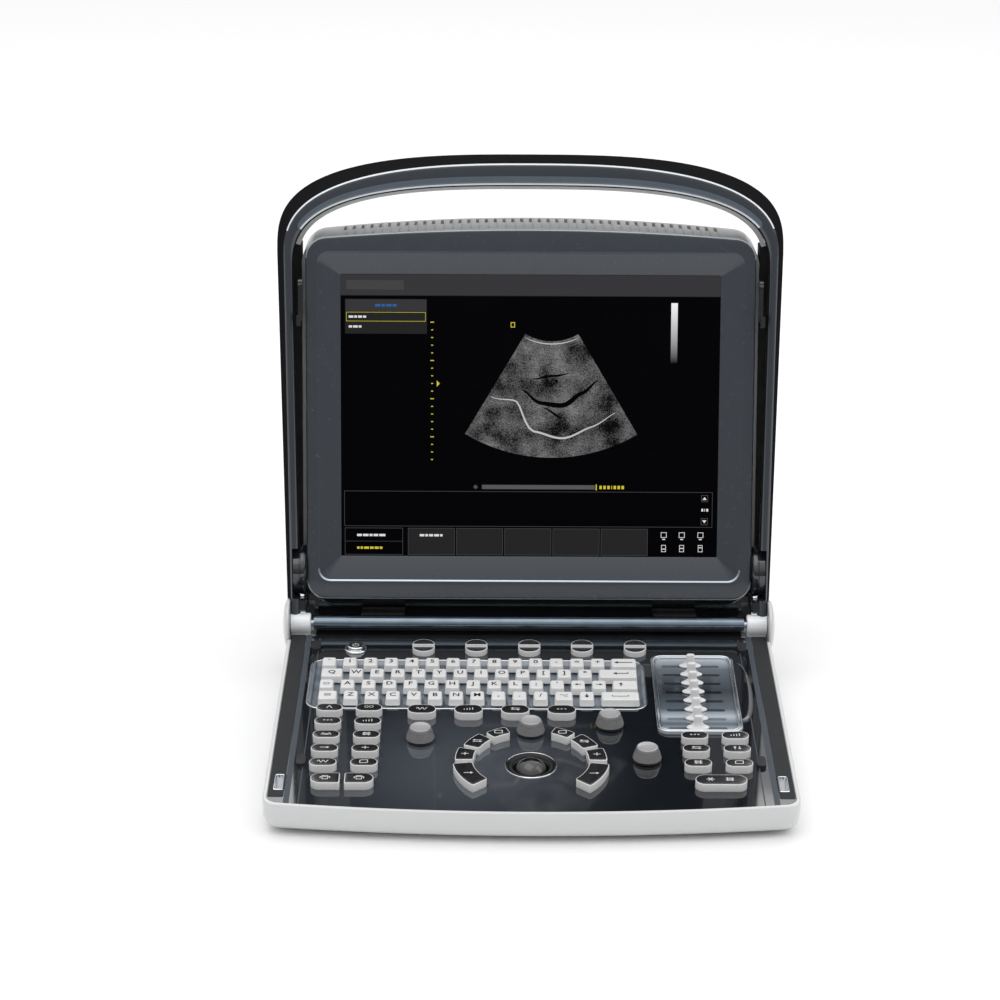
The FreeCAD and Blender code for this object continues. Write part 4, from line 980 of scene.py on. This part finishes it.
def build_screen_graphics():
    bar = Shape(LID)
    film_box(bar, -LCD_HALF + 0.1, LCD_HALF - 0.1, 214.0, LCD_HIGH - 0.2, 0)
    film_box(bar, -LCD_HALF + 0.1, LCD_HALF - 0.1, 213.6, 214.0, 1)
    film_box(bar, -119.0, -82.0, 217.6, 223.6, 2, 0.1)
    bar.finish("screen_top_bar", [UI_BAR, UI_MENU, UI_LINE], "lid", "screen_glass")
    menu = Shape(LID)
    film_box(menu, -120.0, -67.0, 189.0, 211.5, 1)
    film_box(menu, -119.6, -67.4, 203.6, 211.2, 0, 0.08)
    word(menu, -100.5, 207.4, (3.4, 2.2, 3.6, 2.6), 1.6, 4, 0.18)
    film_frame(menu, -119.2, -67.8, 197.0, 203.0, 0.25, 3, 0.08)
    word(menu, -117.6, 200.0, (3.0, 1.8, 2.6, 2.0), 1.4, 2, 0.08)
    word(menu, -117.6, 193.6, (2.2, 3.0, 1.8), 1.4, 2, 0.08)
    menu.finish("screen_menu", [UI_BAR, UI_MENU, UI_WHITE, UI_YELLOW, UI_BLUE], "lid", "screen_glass")
    marks = Shape(LID)
    for n in range(19):
        v = 196.6 - 4.98 * n
        half = 1.15 if n % 5 == 0 else 0.62
        film_box(marks, -63.6 - half, -63.6 + half, v - 0.32, v + 0.32, 0)
    for n in range(5):
        half = 1.9 - 0.38 * n
        film_box(marks, -60.6 + 0.36 * n, -60.6 + 0.36 * (n + 1), 156.7 - half, 156.7 + half, 0)
    film_frame(marks, -12.8, -10.0, 193.4, 196.8, 0.5, 0)
    film_box(marks, 43.2, 43.9, 87.2, 91.0, 0)
    word(marks, 45.6, 89.1, (1.6, 1.6, 1.6, 0.5, 1.6, 1.6, 1.6), 2.2, 0)
    marks.finish("screen_marks", [UI_YELLOW], "lid", "screen_glass")
    scale = Shape(LID)
    film_box(scale, 91.0, 95.2, *SCALE_SPAN)
    scale.finish("screen_grey_scale", [UI_SCALE], "lid", "screen_glass")
    lines = Shape(LID)
    film_box(lines, -31.0, 42.6, 87.7, 90.5, 0)
    for n in range(6):
        a = math.pi * n / 6
        path = [(-35.2 + t * math.cos(a), 89.1 + t * math.sin(a)) for t in (-1.4, 0.0, 1.4)]
        film_strip(lines, path, 0.3, 0, 0.02 * n)
    film_frame(lines, -120.9, 119.6, 62.9, 86.2, 0.3, 1)
    for v in (82.0, 66.8):
        film_frame(lines, 112.2, 116.6, v - 2.2, v + 2.2, 0.25, 0)
        for n in range(4):
            offset = (n - 1.5) * 0.45 * (1 if v > 70 else -1)
            half = 0.3 * (4 - n)
            film_box(lines, 114.4 - half, 114.4 + half, v + offset - 0.22, v + offset + 0.22, 2)
    word(lines, 112.4, 74.4, (1.2, 0.4, 1.2), 1.8, 2)
    film_frame(lines, -120.6, -82.6, 44.0, 61.8, 0.3, 1)
    word(lines, -112.6, 57.0, (3.2, 3.6, 2.0, 3.0, 4.0), 1.5, 2)
    word(lines, -112.6, 48.6, (1.6, 1.6, 3.2, 2.4, 2.6, 1.8), 1.5, 3)
    film_box(lines, -120.2, -83.0, 52.8, 53.05, 1)
    for n in range(5):
        x = -79.3 + 31.55 * n
        film_box(lines, x, x + 30.6, 44.0, 61.8, 4)
        film_frame(lines, x, x + 30.6, 44.0, 61.8, 0.3, 1, 0.08)
    word(lines, -71.6, 57.0, (3.0, 1.8, 2.6, 3.2, 1.6), 1.5, 2, 0.08)
    for n, x in enumerate((88.0, 99.8, 112.0)):
        film_frame(lines, x - 1.9, x + 1.9, 56.0, 59.6, 0.35, 2)
        film_frame(lines, x - 1.5, x + 1.5, 46.6, 51.2, 0.35, 2)
        film_box(lines, x - 0.9, x + 0.9, 54.6, 55.3, 2)
        film_box(lines, x - 1.0, x + 1.0, 48.2 + 0.5 * n, 48.8 + 0.5 * n, 2, 0.02)
    lines.finish("screen_panels", [UI_GREY, UI_LINE, UI_WHITE, UI_YELLOW, UI_MENU], "lid", "screen_glass")


build_scan()
build_screen_graphics()

# ------------------------------------------------------------------ keyboard
KEY_PITCH = 13.15
ROW_PITCH = 15.0
FIRST_ROW = -51.9
KEY_WIDTH = 8.4
WELL_FLOOR = -2.2
KEY_TOP = WELL_FLOOR + 6.4


def plain_keys(first, count):
    return [(first + n * KEY_PITCH, KEY_WIDTH) for n in range(count)]


KEY_ROWS = [
    plain_keys(-127.5, 14) + [(60.0, 15.6)],
    [(-125.0, 13.1)] + plain_keys(-109.6, 12) + [(55.8, 23.7)],
    plain_keys(-127.5, 14) + [(59.8, 15.3)],
    [(-126.0, 11.2)] + plain_keys(-111.7, 10) + [(21.1, 10.7), (35.4, 8.6), (56.3, 23.2)],
]
KEY_LEGENDS = [
    list("`1234567890-=+") + ["left"],
    list("QWERTYUIOP[]*") + ["return"],
    ["lock"] + list("ASDFGHJKL;'") + ["left_small", "right_small", "shift"],
    ["menu"] + list("ZXCVBNM,./") + ["option", "down", "bar"],
]
PRINT_HEIGHT = 0.05


def stroke(shape, points, width, z, slot):
    """Flat line along a path of (x, y) points on a key or button."""
    for (ax, ay), (bx, by) in zip(points, points[1:]):
        dx = bx - ax
        dy = by - ay
        length = math.hypot(dx, dy) or 1.0
        nx = -dy / length * width / 2.0
        ny = dx / length * width / 2.0
        ex = dx / length * width * 0.3
        ey = dy / length * width * 0.3
        ring = [(ax + nx - ex, ay + ny - ey), (ax - nx - ex, ay - ny - ey),
                (bx - nx + ex, by - ny + ey), (bx + nx + ex, by + ny + ey)]
        shape.stack([at_height(ring, z), at_height(ring, z + PRINT_HEIGHT)], slot)


def ellipse(x, y, half_x, half_y, count=20, start=0.0, sweep=360.0):
    """Path round an ellipse, or part of the way round."""
    angles = [math.radians(start + sweep * n / count) for n in range(count + 1)]
    return [(x + half_x * math.cos(a), y + half_y * math.sin(a)) for a in angles]


def arrow(x, y, reach, degrees, head):
    """Paths of an arrow: its shaft and the two sides of its head."""
    ux = math.cos(math.radians(degrees))
    uy = math.sin(math.radians(degrees))
    tip = (x + ux * reach, y + uy * reach)
    paths = [[(x - ux * reach, y - uy * reach), tip]]
    for side in (-1, 1):
        back = (tip[0] - ux * head + side * uy * head * 0.6, tip[1] - uy * head - side * ux * head * 0.6)
        paths.append([tip, back])
    return paths


def across(y, half):
    return [(-half, y), (half, y)]


# Pictograms round their own middle: each is a list of (line width, paths).
MARKS = {
    "left": [(0.8, arrow(0, 0, 5.4, 180, 1.5))],
    "return": [(0.8, arrow(2.0, 0, 4.4, 180, 1.5)), (0.5, [[(6.4, 0), (6.4, 1.8)]])],
    "shift": [(0.7, arrow(-2.6, 0, 1.9, 90, 1.6))],
    "down": [(0.8, arrow(0, 0, 1.9, 270, 1.6))],
    "left_small": [(0.6, arrow(0, 0, 1.8, 180, 1.4))],
    "right_small": [(0.6, arrow(0, 0, 1.8, 0, 1.4))],
    "bar": [(0.5, [[(-5.0, 0.6), (-5.0, -0.6), (5.0, -0.6), (5.0, 0.6)]])],
    "lock": [(0.4, [[(-1.6, -1.2), (1.6, -1.2), (1.6, 0.8), (-1.6, 0.8), (-1.6, -1.2)]])],
    "menu": [(0.4, [across(n * 1.1, 2.0) for n in (-1, 0, 1)])],
    "option": [(0.4, [[(-2.4, 1.0), (-0.6, 1.0), (0.8, -1.0), (2.4, -1.0)], [(0.8, 1.0), (2.4, 1.0)]])],
    "peak": [(0.5, [[(-1.6, -1.5), (0, 1.6), (1.6, -1.5)]])],
    "rings": [(0.5, [ellipse(side * 1.5, 0.3, 1.1, 1.2) for side in (-1, 1)])],
    "bars": [(0.5, [[(-2.6 + 1.7 * n, -1.4), (-2.6 + 1.7 * n, -0.3 + 0.5 * n)] for n in range(4)])],
    "dots": [(0.5, [ellipse(2.2 * n, 0, 0.45, 0.45, 8) for n in (-1, 0, 1)])],
    "figure": [(0.5, [[(-3.0, -1.2), (-2.0, 0.8), (-1.0, -0.2), (1.0, -0.2), (2.0, 0.8), (3.0, -1.2)],
                      across(-1.4, 1.8)])],
    "page": [(0.5, [[(-2.4, -1.6), (-2.4, 1.3), (-0.9, 1.8), (2.2, 1.8), (2.2, -1.6), (-2.4, -1.6)]])],
    "pointer": [(0.5, arrow(0, 0, 2.6, 0, 1.3))],
    "cross": [(0.5, [across(0, 2.0), [(0, -1.5), (0, 1.5)]])],
    "wave": [(0.5, [[(-3.2 + 0.4 * n, 1.3 * math.sin(n * 0.9)) for n in range(17)]])],
    "swap": [(0.5, arrow(0, 0.9, 2.6, 180, 1.1) + arrow(0, -0.9, 2.6, 0, 1.1))],
    "lift": [(0.5, arrow(-1.4, 0, 1.6, 90, 1.1) + arrow(1.4, 0, 1.6, 270, 1.1))],
    "grid": [(0.5, [across(1.2 * n, 2.2) for n in (-1, 0, 1)] +
              [[(1.4 * n, -1.8), (1.4 * n, 1.8)] for n in (-1, 1)])],
    "printer": [(0.5, [[(-2.8, -0.9), (-2.8, 0.7), (2.8, 0.7), (2.8, -0.9)],
                       [(-1.6, 0.7), (-1.6, 1.9), (1.6, 1.9), (1.6, 0.7)],
                       [(-1.6, -0.4), (-1.6, -2.0), (1.6, -2.0), (1.6, -0.4)]])],
    "flake": [(0.5, [[(-2.2 * math.cos(a), -2.0 * math.sin(a)), (2.2 * math.cos(a), 2.0 * math.sin(a))]
                     for a in (0, math.radians(60), math.radians(120))])],
    "power": [(0.5, [ellipse(0, -0.2, 1.9, 1.9, 18, 120.0, 300.0), [(0, 0.2), (0, 2.4)]])],
}


def mark(shape, kind, x, y, z, slot):
    """Draw a pictogram on a key; the flake's strokes, which cross, are set at heights of their own."""
    step = 0.01 if kind == "flake" else 0.0
    for width, paths in MARKS[kind]:
        for n, path in enumerate(paths):
            stroke(shape, [(x + px, y + py) for px, py in path], width, z + step * n, slot)


def key_cap(shape, x, y, width):
    def outline(inset, grow=0.0):
        half = width / 2 + grow - inset
        return rounded_loop(x - half, x + half, y - 5.4 - grow + inset, y + 5.4 + grow - inset,
                            max(0.3, 1.4 - inset * 0.6), 4)

    rings = [at_height(outline(inset, grow), z)
             for inset, grow, z in ((0.25, 0.42, -0.6), (0.0, 0.42, -0.3), (0.0, 0.12, 2.6))]
    for inward, down in quarter(4):
        rings.append(at_height(outline(0.75 * inward), KEY_TOP - 0.75 * down))
    rings.append(at_height(outline(1.9), KEY_TOP - 0.08))
    shape.stack(rings)


def build_keyboard():
    for index, (row, legends) in enumerate(zip(KEY_ROWS, KEY_LEGENDS)):
        shape = Shape(DECK)
        y = FIRST_ROW - ROW_PITCH * index
        for (x, width), legend in zip(row, legends):
            key_cap(shape, x, y, width)
            if legend in MARKS:
                mark(shape, legend, x, y, KEY_TOP - PRINT_HEIGHT, 1)
            else:
                shape.join_text(legend, x, y + 0.4, KEY_TOP - 0.04, 6.0, 1, 0.09)
        name = "key_row_%d" % (index + 1)
        shape.finish("keys_" + name, [KEY_WHITE, INK], name, "key_white", [name])


# ------------------------------------------------------------------ deck buttons
BUTTON_TOP = 4.7
BUTTON_LOW = -0.8
SOFT_KEYS = [(-68.0, -29.5), (-34.0, -29.5), (0.1, -29.5), (34.1, -29.5), (68.2, -29.5)]
MODE_KEYS = [(-66.8, -116.0), (-38.0, -116.0), (-9.2, -116.0), (19.4, -116.0)]
LEFT_KEYS = [(x, -114.3 - 17.0 * n) for n in range(5) for x in (-123.8, -99.4)]
PRINT_KEYS = [(-121.4, -201.4), (-101.4, -201.4)]
RIGHT_KEYS = [(x, y) for y in (-147.6, -163.8, -181.4) for x in (99.4, 123.9)]
FREEZE_KEY = (111.7, -201.6)
POWER = (-111.8, -27.6)
BALL_RADIUS = 10.8
BALL_SINK = 6.4


def capped_button(shape, outline, high):
    """White body with a black top let into it, which leaves a thin white rim."""
    rings = [at_height(outline(0.0), BUTTON_LOW), at_height(outline(0.0), high - 0.4)]
    for inward, down in quarter(3, 1):
        rings.append(at_height(outline(0.3 * inward), high - 0.4 * down))
    rings += [at_height(outline(0.42), high), at_height(outline(0.48), high - 0.12)]
    shape.stack(rings, 0, True, False)
    cap = [at_height(outline(inset), high + lift)
           for inset, lift in ((0.48, -0.12), (0.55, 0.02), (0.75, 0.12), (1.2, 0.2), (2.2, 0.26))]
    shape.stack(cap, 1)
    return high + 0.26


def stadium(x, y, length, width):
    def outline(inset):
        half_x = length / 2 - inset
        half_y = width / 2 - inset
        return rounded_loop(x - half_x, x + half_x, y - half_y, y + half_y, half_y, 7)
    return outline


def print_outline(x, y, side):
    """Half-round outside end, nearly square inside end."""
    def outline(inset):
        big = 6.0 - inset
        small = max(0.3, 1.2 - inset * 0.5)
        near = 8.6 - inset
        points = arc(-near + big, 0.0, big, 90, 180.0, 12)
        for cy, start in ((-big + small, -90), (big - small, 0)):
            points += arc(near - small, cy, small, start, 90.0, 4)
        if side > 0:
            points = [(-px, py) for px, py in reversed(points)]
        return [(x + px, y + py) for px, py in points]
    return outline


ARC_SPANS = [(111.0, 130.5), (135.0, 158.0), (162.0, 182.0), (187.0, 223.0)]
ARC_INNER = [33.6, 33.4, 34.2, 35.0]
ARC_OUTER = [42.2, 44.0, 45.4, 47.0]


def arc_outline(index, side):
    """Sector round the ball with rounded corners."""
    start, stop = ARC_SPANS[index]

    def spot(radius, degrees):
        a = math.radians(degrees)
        return (BALL[0] - side * radius * math.cos(a), BALL[1] + radius * math.sin(a))

    def corner_points(radius, corner, angle, step, leaving_arc):
        points = []
        for c, s in quarter(4, 1)[:-1]:
            along_radius, along_angle = (c, s) if leaving_arc else (s, c)
            points.append(spot(radius + corner * along_radius, angle + step * along_angle))
        return points

    def outline(inset):
        low = ARC_INNER[index] + inset
        high = ARC_OUTER[index] - inset
        corner = max(0.25, 1.7 - inset)
        shrink = math.degrees(inset / ((low + high) / 2))
        step_high = math.degrees(corner / high)
        step_low = math.degrees(corner / low)
        a0 = start + shrink
        a1 = stop - shrink
        points = [spot(high, a0 + step_high + (a1 - a0 - 2 * step_high) * n / 12) for n in range(13)]
        points += corner_points(high, -corner, a1, -step_high, True)
        points += [spot(high - corner, a1), spot(low + corner, a1)]
        points += corner_points(low, corner, a1, -step_low, False)
        points += [spot(low, a1 - step_low - (a1 - a0 - 2 * step_low) * n / 12) for n in range(13)]
        points += corner_points(low, corner, a0, step_low, True)
        points += [spot(low + corner, a0), spot(high - corner, a0)]
        points += corner_points(high, -corner, a0, step_high, False)
        if side < 0:
            points.reverse()
        return points
    return outline


BUTTON_MATERIALS = [KEY_WHITE, KEY_BLACK, PALE_INK]


def button_group(name, body, buttons):
    """One object for the buttons of a body; each is (outline, [(mark, x, y), ...])."""
    shape = Shape(DECK)
    for outline, marks in buttons:
        top = capped_button(shape, outline, BUTTON_TOP)
        for kind, x, y in marks:
            mark(shape, kind, x, y, top, 2)
    shape.finish(name, BUTTON_MATERIALS, body, "key_white", [body])


def stadium_buttons(places, kinds, length, width):
    return [(stadium(x, y, length, width), [(kind, x, y)]) for (x, y), kind in zip(places, kinds)]


def arc_buttons():
    buttons = []
    for side in (1, -1):
        for index, kind in enumerate(("page", "swap", "cross", "pointer")):
            a = math.radians(sum(ARC_SPANS[index]) / 2)
            radius = (ARC_INNER[index] + ARC_OUTER[index]) / 2
            x = BALL[0] - side * radius * math.cos(a)
            buttons.append((arc_outline(index, side), [(kind, x, BALL[1] + radius * math.sin(a))]))
    return buttons


def build_buttons():
    button_group("mode_buttons", "mode_keys",
                 stadium_buttons(MODE_KEYS, ("wave", "bars", "swap", "dots"), 17.6, 11.4))
    left = stadium_buttons(LEFT_KEYS, ("peak", "rings", "dots", "bars", "figure", "grid", "pointer", "cross",
                                       "wave", "page"), 16.4, 9.4)
    for (x, y), side in zip(PRINT_KEYS, (-1, 1)):
        left.append((print_outline(x, y, side), [("printer", x, y)]))
    button_group("left_buttons", "left_keys", left)
    button_group("right_buttons", "right_keys",
                 stadium_buttons(RIGHT_KEYS, ("dots", "bars", "swap", "lift", "grid", "page"), 16.4, 9.4))
    x, y = FREEZE_KEY
    button_group("freeze_button", "freeze_key",
                 [(stadium(x, y, 30.6, 11.8), [("flake", x - 6.4, y), ("grid", x + 5.0, y)])])
    button_group("arc_buttons", "arc_keys", arc_buttons())


SOFT_SPLIT = -0.4


def half_disc(x, y, radius, back, inset):
    """Front or rear half of a round key, split a little in front of its middle."""
    r = radius - inset
    first = math.asin((SOFT_SPLIT + (inset if back else -inset)) / r)
    sweep = math.pi - 2 * first
    if not back:
        first, sweep = math.pi - first, math.pi + 2 * first
    angles = [first + sweep * n / 16 for n in range(17)]
    return [(x + r * math.cos(a), y + r * math.sin(a)) for a in angles]


def build_soft_keys():
    shape = Shape(DECK)
    for x, y in SOFT_KEYS:
        for back, high in ((False, 3.6), (True, 5.2)):
            def outline(inset, back=back):
                return half_disc(x, y, 7.2, back, inset)
            capped_button(shape, outline, high)
    shape.finish("soft_buttons", BUTTON_MATERIALS, "soft_keys", "key_white", ["soft_keys"])


def build_power():
    shape = Shape(DECK)
    profile = ((5.5, -3.0), (5.5, 2.4), (5.3, 3.1), (4.9, 3.5), (4.5, 3.6))
    shape.stack(turned(*POWER, profile, 48), 0, True, False)
    shape.stack(turned(*POWER, ((4.5, 3.6), (4.4, 3.45), (3.0, 3.4), (1.2, 3.38)), 48), 1, False, True)
    mark(shape, "power", *POWER, 3.42, 2)
    shape.finish("power_key", [CHROME, KEY_BLACK, PALE_INK], "power_button", "key_white", ["power_button"])
    trim = Shape(DECK)
    profile = ((7.4, -0.4), (7.4, 0.5), (7.2, 1.1), (6.8, 1.5), (6.4, 1.6), (6.1, 1.4), (5.95, 1.0),
               (5.95, -2.6), (7.3, -2.6))
    trim.stack(turned(*POWER, profile, 64), 0, False, False)
    trim.stack(turned(*POWER, ((7.3, -2.6), (7.4, -0.4)), 64), 0, False, False)
    trim.finish("power_trim", [CHROME], "base", "chrome")


def build_ball():
    dish = Shape(DECK)
    rim = ((14.8, -3.4), (15.5, -0.2), (15.5, 0.3), (15.3, 0.5), (15.0, 0.55), (14.8, 0.45))
    bowl = ((14.8, 0.45), (14.4, 0.1), (13.0, -0.35), (11.6, -0.9), (10.6, -1.6), (10.4, -2.4), (10.4, -3.4),
            (14.8, -3.4))
    for slot, profile in enumerate((rim, bowl)):
        dish.stack(turned(*BALL, profile, 96), slot, False, False)
    dish.finish("ball_dish", [CHROME, BALL_DISH], "base", "chrome", ["chrome_rings"])
    ball = Shape(DECK)
    profile = []
    for n in range(1, 40):
        a = math.radians(-90 + 180.0 * n / 40)
        profile.append((BALL_RADIUS * math.cos(a), -BALL_SINK + BALL_RADIUS * math.sin(a)))
    ball.stack(turned(*BALL, profile, 64))
    ball.finish("ball", [BALL_GLOSS], "trackball", "ball_gloss", ["trackball"])


# ------------------------------------------------------------------ knobs and sliders
KNOBS = [(-66.8, -147.2), (0.1, -137.8), (48.6, -128.6), (69.5, -170.6)]
RIB_DEPTH = 0.34
RIB_COUNT = 36
# Radius, height and share of the rib depth.
KNOB_PROFILE = ((8.2, 0.5, 0.0), (8.5, 0.7, 0.0), (8.5, 1.5, 0.0), (8.2, 1.7, 0.0), (8.2, 1.9, 0.0),
                (8.7, 2.1, 0.3), (8.6, 2.6, 1.0), (7.75, 5.6, 1.0), (7.2, 7.0, 1.0), (7.0, 7.5, 0.0),
                (6.85, 8.1, 0.0), (6.55, 8.8, 0.0), (6.15, 9.25, 0.0), (5.7, 9.4, 0.0), (5.2, 9.2, 0.0),
                (4.2, 8.8, 0.0), (2.4, 8.55, 0.0), (0.6, 8.5, 0.0))


def build_knob(index, x, y):
    shape = Shape(DECK)
    rings = []
    for radius, z, rib in KNOB_PROFILE:
        ring = []
        for a in even_angles(180):
            r = radius - RIB_DEPTH * rib * (0.5 + 0.5 * math.cos(a * RIB_COUNT))
            ring.append((x + r * math.cos(a), y + r * math.sin(a), z))
        rings.append(ring)
    shape.stack(rings[:5], 1, True, False)
    shape.stack(rings[4:13], 0, False, False)
    shape.stack(rings[12:], 2, False, True)
    name = "knob_%d" % (index + 1)
    shape.finish("turn_" + name, [KNOB, KEY_BLACK, KNOB_TOP], name, "knob_grey", [name])


SLIDER_X = 102.5
SLIDER_FIRST = -50.6
SLIDER_PITCH = 11.63


def oval(x, y, half_x, half_y, power):
    points = []
    for a in even_angles(40):
        c = math.cos(a)
        s = math.sin(a)
        points.append((x + half_x * math.copysign(abs(c) ** power, c),
                       y + half_y * math.copysign(abs(s) ** power, s)))
    return points


def build_slider(index):
    y = SLIDER_FIRST - SLIDER_PITCH * index
    shape = Shape(DECK)
    profile = ((6.6, 3.2, 0.9, 1.0), (7.0, 3.4, 1.1, 1.0), (7.0, 3.4, 1.5, 1.0), (6.7, 3.25, 1.8, 1.0),
               (5.5, 2.8, 2.3, 0.95), (4.2, 2.3, 3.0, 0.9), (3.3, 1.9, 3.9, 0.8), (2.8, 1.65, 5.0, 0.7),
               (2.6, 1.5, 6.2, 0.65), (2.6, 1.5, 8.6, 0.65), (2.45, 1.4, 9.1, 0.65), (2.1, 1.15, 9.45, 0.7),
               (1.5, 0.7, 9.6, 0.8))
    shape.stack([at_height(oval(SLIDER_X, y, a, b, power), z) for a, b, z, power in profile])
    stem = rounded_loop(SLIDER_X - 1.8, SLIDER_X + 1.8, y - 0.9, y + 0.9, 0.5, 3)
    shape.stack([at_height(stem, -5.0), at_height(stem, 1.2)])
    name = "slider_%d" % (index + 1)
    shape.finish("gain_" + name, [KEY_WHITE], name, "key_white", [name])


def trim_loop(shape, place, inset, radius, half_width, low, high):
    """Rounded rail that follows a rounded rectangle (x0, x1, y0, y1) at an inset."""
    x0, x1, y0, y1 = place
    rings = []
    for n in range(9):
        a = math.radians(180.0 * n / 8)
        grow = half_width * math.cos(a) - inset
        z = low + (high - low) * math.sin(a)
        rings.append(at_height(rounded_loop(x0 - grow, x1 + grow, y0 - grow, y1 + grow,
                                            radius + half_width * math.cos(a), 8), z))
    rings.append(rings[0])
    shape.stack(rings, 0, False, False)


TRAY = (77.6, 130.0, -138.4, -37.6)
WELL = (-139.5, 73.0, -107.6, -41.6)


def build_recesses():
    rails = Shape(DECK)
    trim_loop(rails, TRAY, 0.6, 6.8, 0.55, 1.5, 2.3)
    trim_loop(rails, TRAY, 2.5, 5.6, 0.35, 1.5, 2.0)
    trim_loop(rails, WELL, 0.5, 8.6, 0.45, -0.2, 0.35)
    rails.finish("recess_rails", [CHROME], "base", "chrome")
    # White band along the well's front edge: a painted reflection of a bright band on the glossy well.
    lip = Shape(DECK)
    section = ((-103.9, -2.15), (-104.6, -1.6), (-105.6, -0.6), (-106.6, 0.0), (-107.2, 0.1), (-107.3, -0.4),
               (-104.4, -2.2))
    lip.stack([[(x, y, z) for y, z in section] for x in (-133.0, 67.0)])
    lip.finish("well_front_painted_reflection", [WHITE], "base", "well_gloss")
    lens = Shape(DECK)
    rings = []
    for inward, down in quarter(5):
        inset = 3.4 * inward
        ring = []
        for k in range(25):
            t = math.pi * k / 24
            ring.append((130.2 + (9.4 - inset) * math.sin(t) ** 0.75, -83.0 + (40.0 - inset) * math.cos(t)))
        ring.append((130.2, -123.0 + inset))
        ring.append((130.2, -43.0 - inset))
        rings.append(at_height(ring, 1.15 - 1.1 * down))
    lens.stack(rings)
    lens.finish("tray_lens", [DARK_GLOSS], "base", "well_gloss")


def build_deck_details():
    """Matte strips along the deck's sides, a fine line beside each painted as the highlight on the centre
    plate's edge, and open cups for the latch hooks.
    """
    strips = Shape(DECK)
    edge_highlights = Shape(DECK)
    slots = Shape(DECK)
    pits = Shape(DECK)
    x, y = LATCH_SLOT
    for side in (-1, 1):
        for near, far, front, slot in ((145.0, 154.3, -216.0, 0), (141.4, 144.8, -224.0, 1)):
            loop = rounded_loop(*sorted((side * near, side * far)), front, -7.0, 1.2, 3)
            strips.stack([at_height(loop, 0.0), at_height(loop, 0.12)], slot)
        # Fine blue-grey line at the centre plate's edge: a painted highlight.
        loop = rounded_loop(*sorted((side * 135.6, side * 136.3)), -226.0, -12.0, 0.3, 2)
        edge_highlights.stack([at_height(loop, 0.0), at_height(loop, 0.18)])
        rings = []
        for half_x, z in ((3.0, -7.4), (3.0, 0.25), (2.9, 0.4), (2.6, 0.45), (2.4, 0.3), (2.4, -5.6)):
            half_y = half_x + 6.2
            loop = rounded_loop(side * x - half_x, side * x + half_x, y - half_y, y + half_y, 1.2, 4)
            rings.append(at_height(loop, z))
        slots.stack(rings, 1)
        pits.block(side * x - 3.1, side * x + 3.1, y - 9.3, y + 9.3, -1.0, 1.0)
    slots.finish("latch_slots", [BLACK_MATTE, CHROME], "base", "chrome", ["latch_catches"])
    piece = strips.finish("deck_side_strips", [STRIP_GREY, STRIP_BLUE], "base", "black_gloss")
    carve(piece, [pits])
    edge_highlights.finish("deck_edge_highlights", [STRIP_BLUE], "base", "black_gloss")


build_keyboard()
build_buttons()
build_soft_keys()
build_power()
build_ball()
for number, spot in enumerate(KNOBS):
    build_knob(number, *spot)
for number in range(8):
    build_slider(number)
build_recesses()
build_deck_details()


# ------------------------------------------------------------------ stage and light
WORLD_STRENGTH = 1.42
FLOOR_REACH = 30.0
SKY = ((0.0, 0.14), (0.25, 0.22), (0.5, 0.55), (1.0, 1.0))


def area_light(name, place, target, size_x, size_y, power):
    data = bpy.data.lights.new(name, "AREA")
    data.shape = "RECTANGLE"
    data.size = size_x
    data.size_y = size_y
    data.energy = power
    lamp = bpy.data.objects.new(name, data)
    bpy.context.scene.collection.objects.link(lamp)
    lamp.location = place
    lamp.rotation_euler = (Vector(target) - Vector(place)).to_track_quat("-Z", "Y").to_euler()


def studio_world():
    """Dark near the horizon and bright overhead, like a large softbox above a dark room."""
    world = bpy.data.worlds.new("studio")
    world.use_nodes = True
    tree = world.node_tree
    background = tree.nodes["Background"]
    coords = tree.nodes.new("ShaderNodeTexCoord")
    split = tree.nodes.new("ShaderNodeSeparateXYZ")
    tree.links.new(coords.outputs["Generated"], split.inputs[0])
    colour_ramp(tree, split.outputs["Z"], background.inputs["Color"],
                [(place, (level,) * 3) for place, level in SKY])
    background.inputs["Strength"].default_value = WORLD_STRENGTH
    bpy.context.scene.world = world


def build_stage():
    mesh = bpy.data.meshes.new("floor")
    reach = FLOOR_REACH
    mesh.from_pydata([(-reach, -reach, 0), (reach, -reach, 0), (reach, reach, 0), (-reach, reach, 0)], [],
                     [(0, 1, 2, 3)])
    floor = bpy.data.objects.new("floor", mesh)
    bpy.context.scene.collection.objects.link(floor)
    floor.location = (0, 0, -0.0005)
    mesh.materials.append(plastic("floor_pale", (0.95,) * 3, (0.97,) * 3, 0.7, 0.8, specular=0.1))
    studio_world()
    area_light("key_light", (-0.5, -0.5, 2.2), (0, 0, 0.1), 2.0, 1.6, 7.0)
    area_light("side_light", (1.6, -0.4, 1.4), (0, 0, 0.15), 1.0, 1.4, 3.0)
    area_light("back_light", (0.2, 1.5, 1.6), (0, 0, 0.15), 2.0, 0.8, 6.0)
    bpy.context.scene.view_settings.view_transform = "Standard"


build_stage()
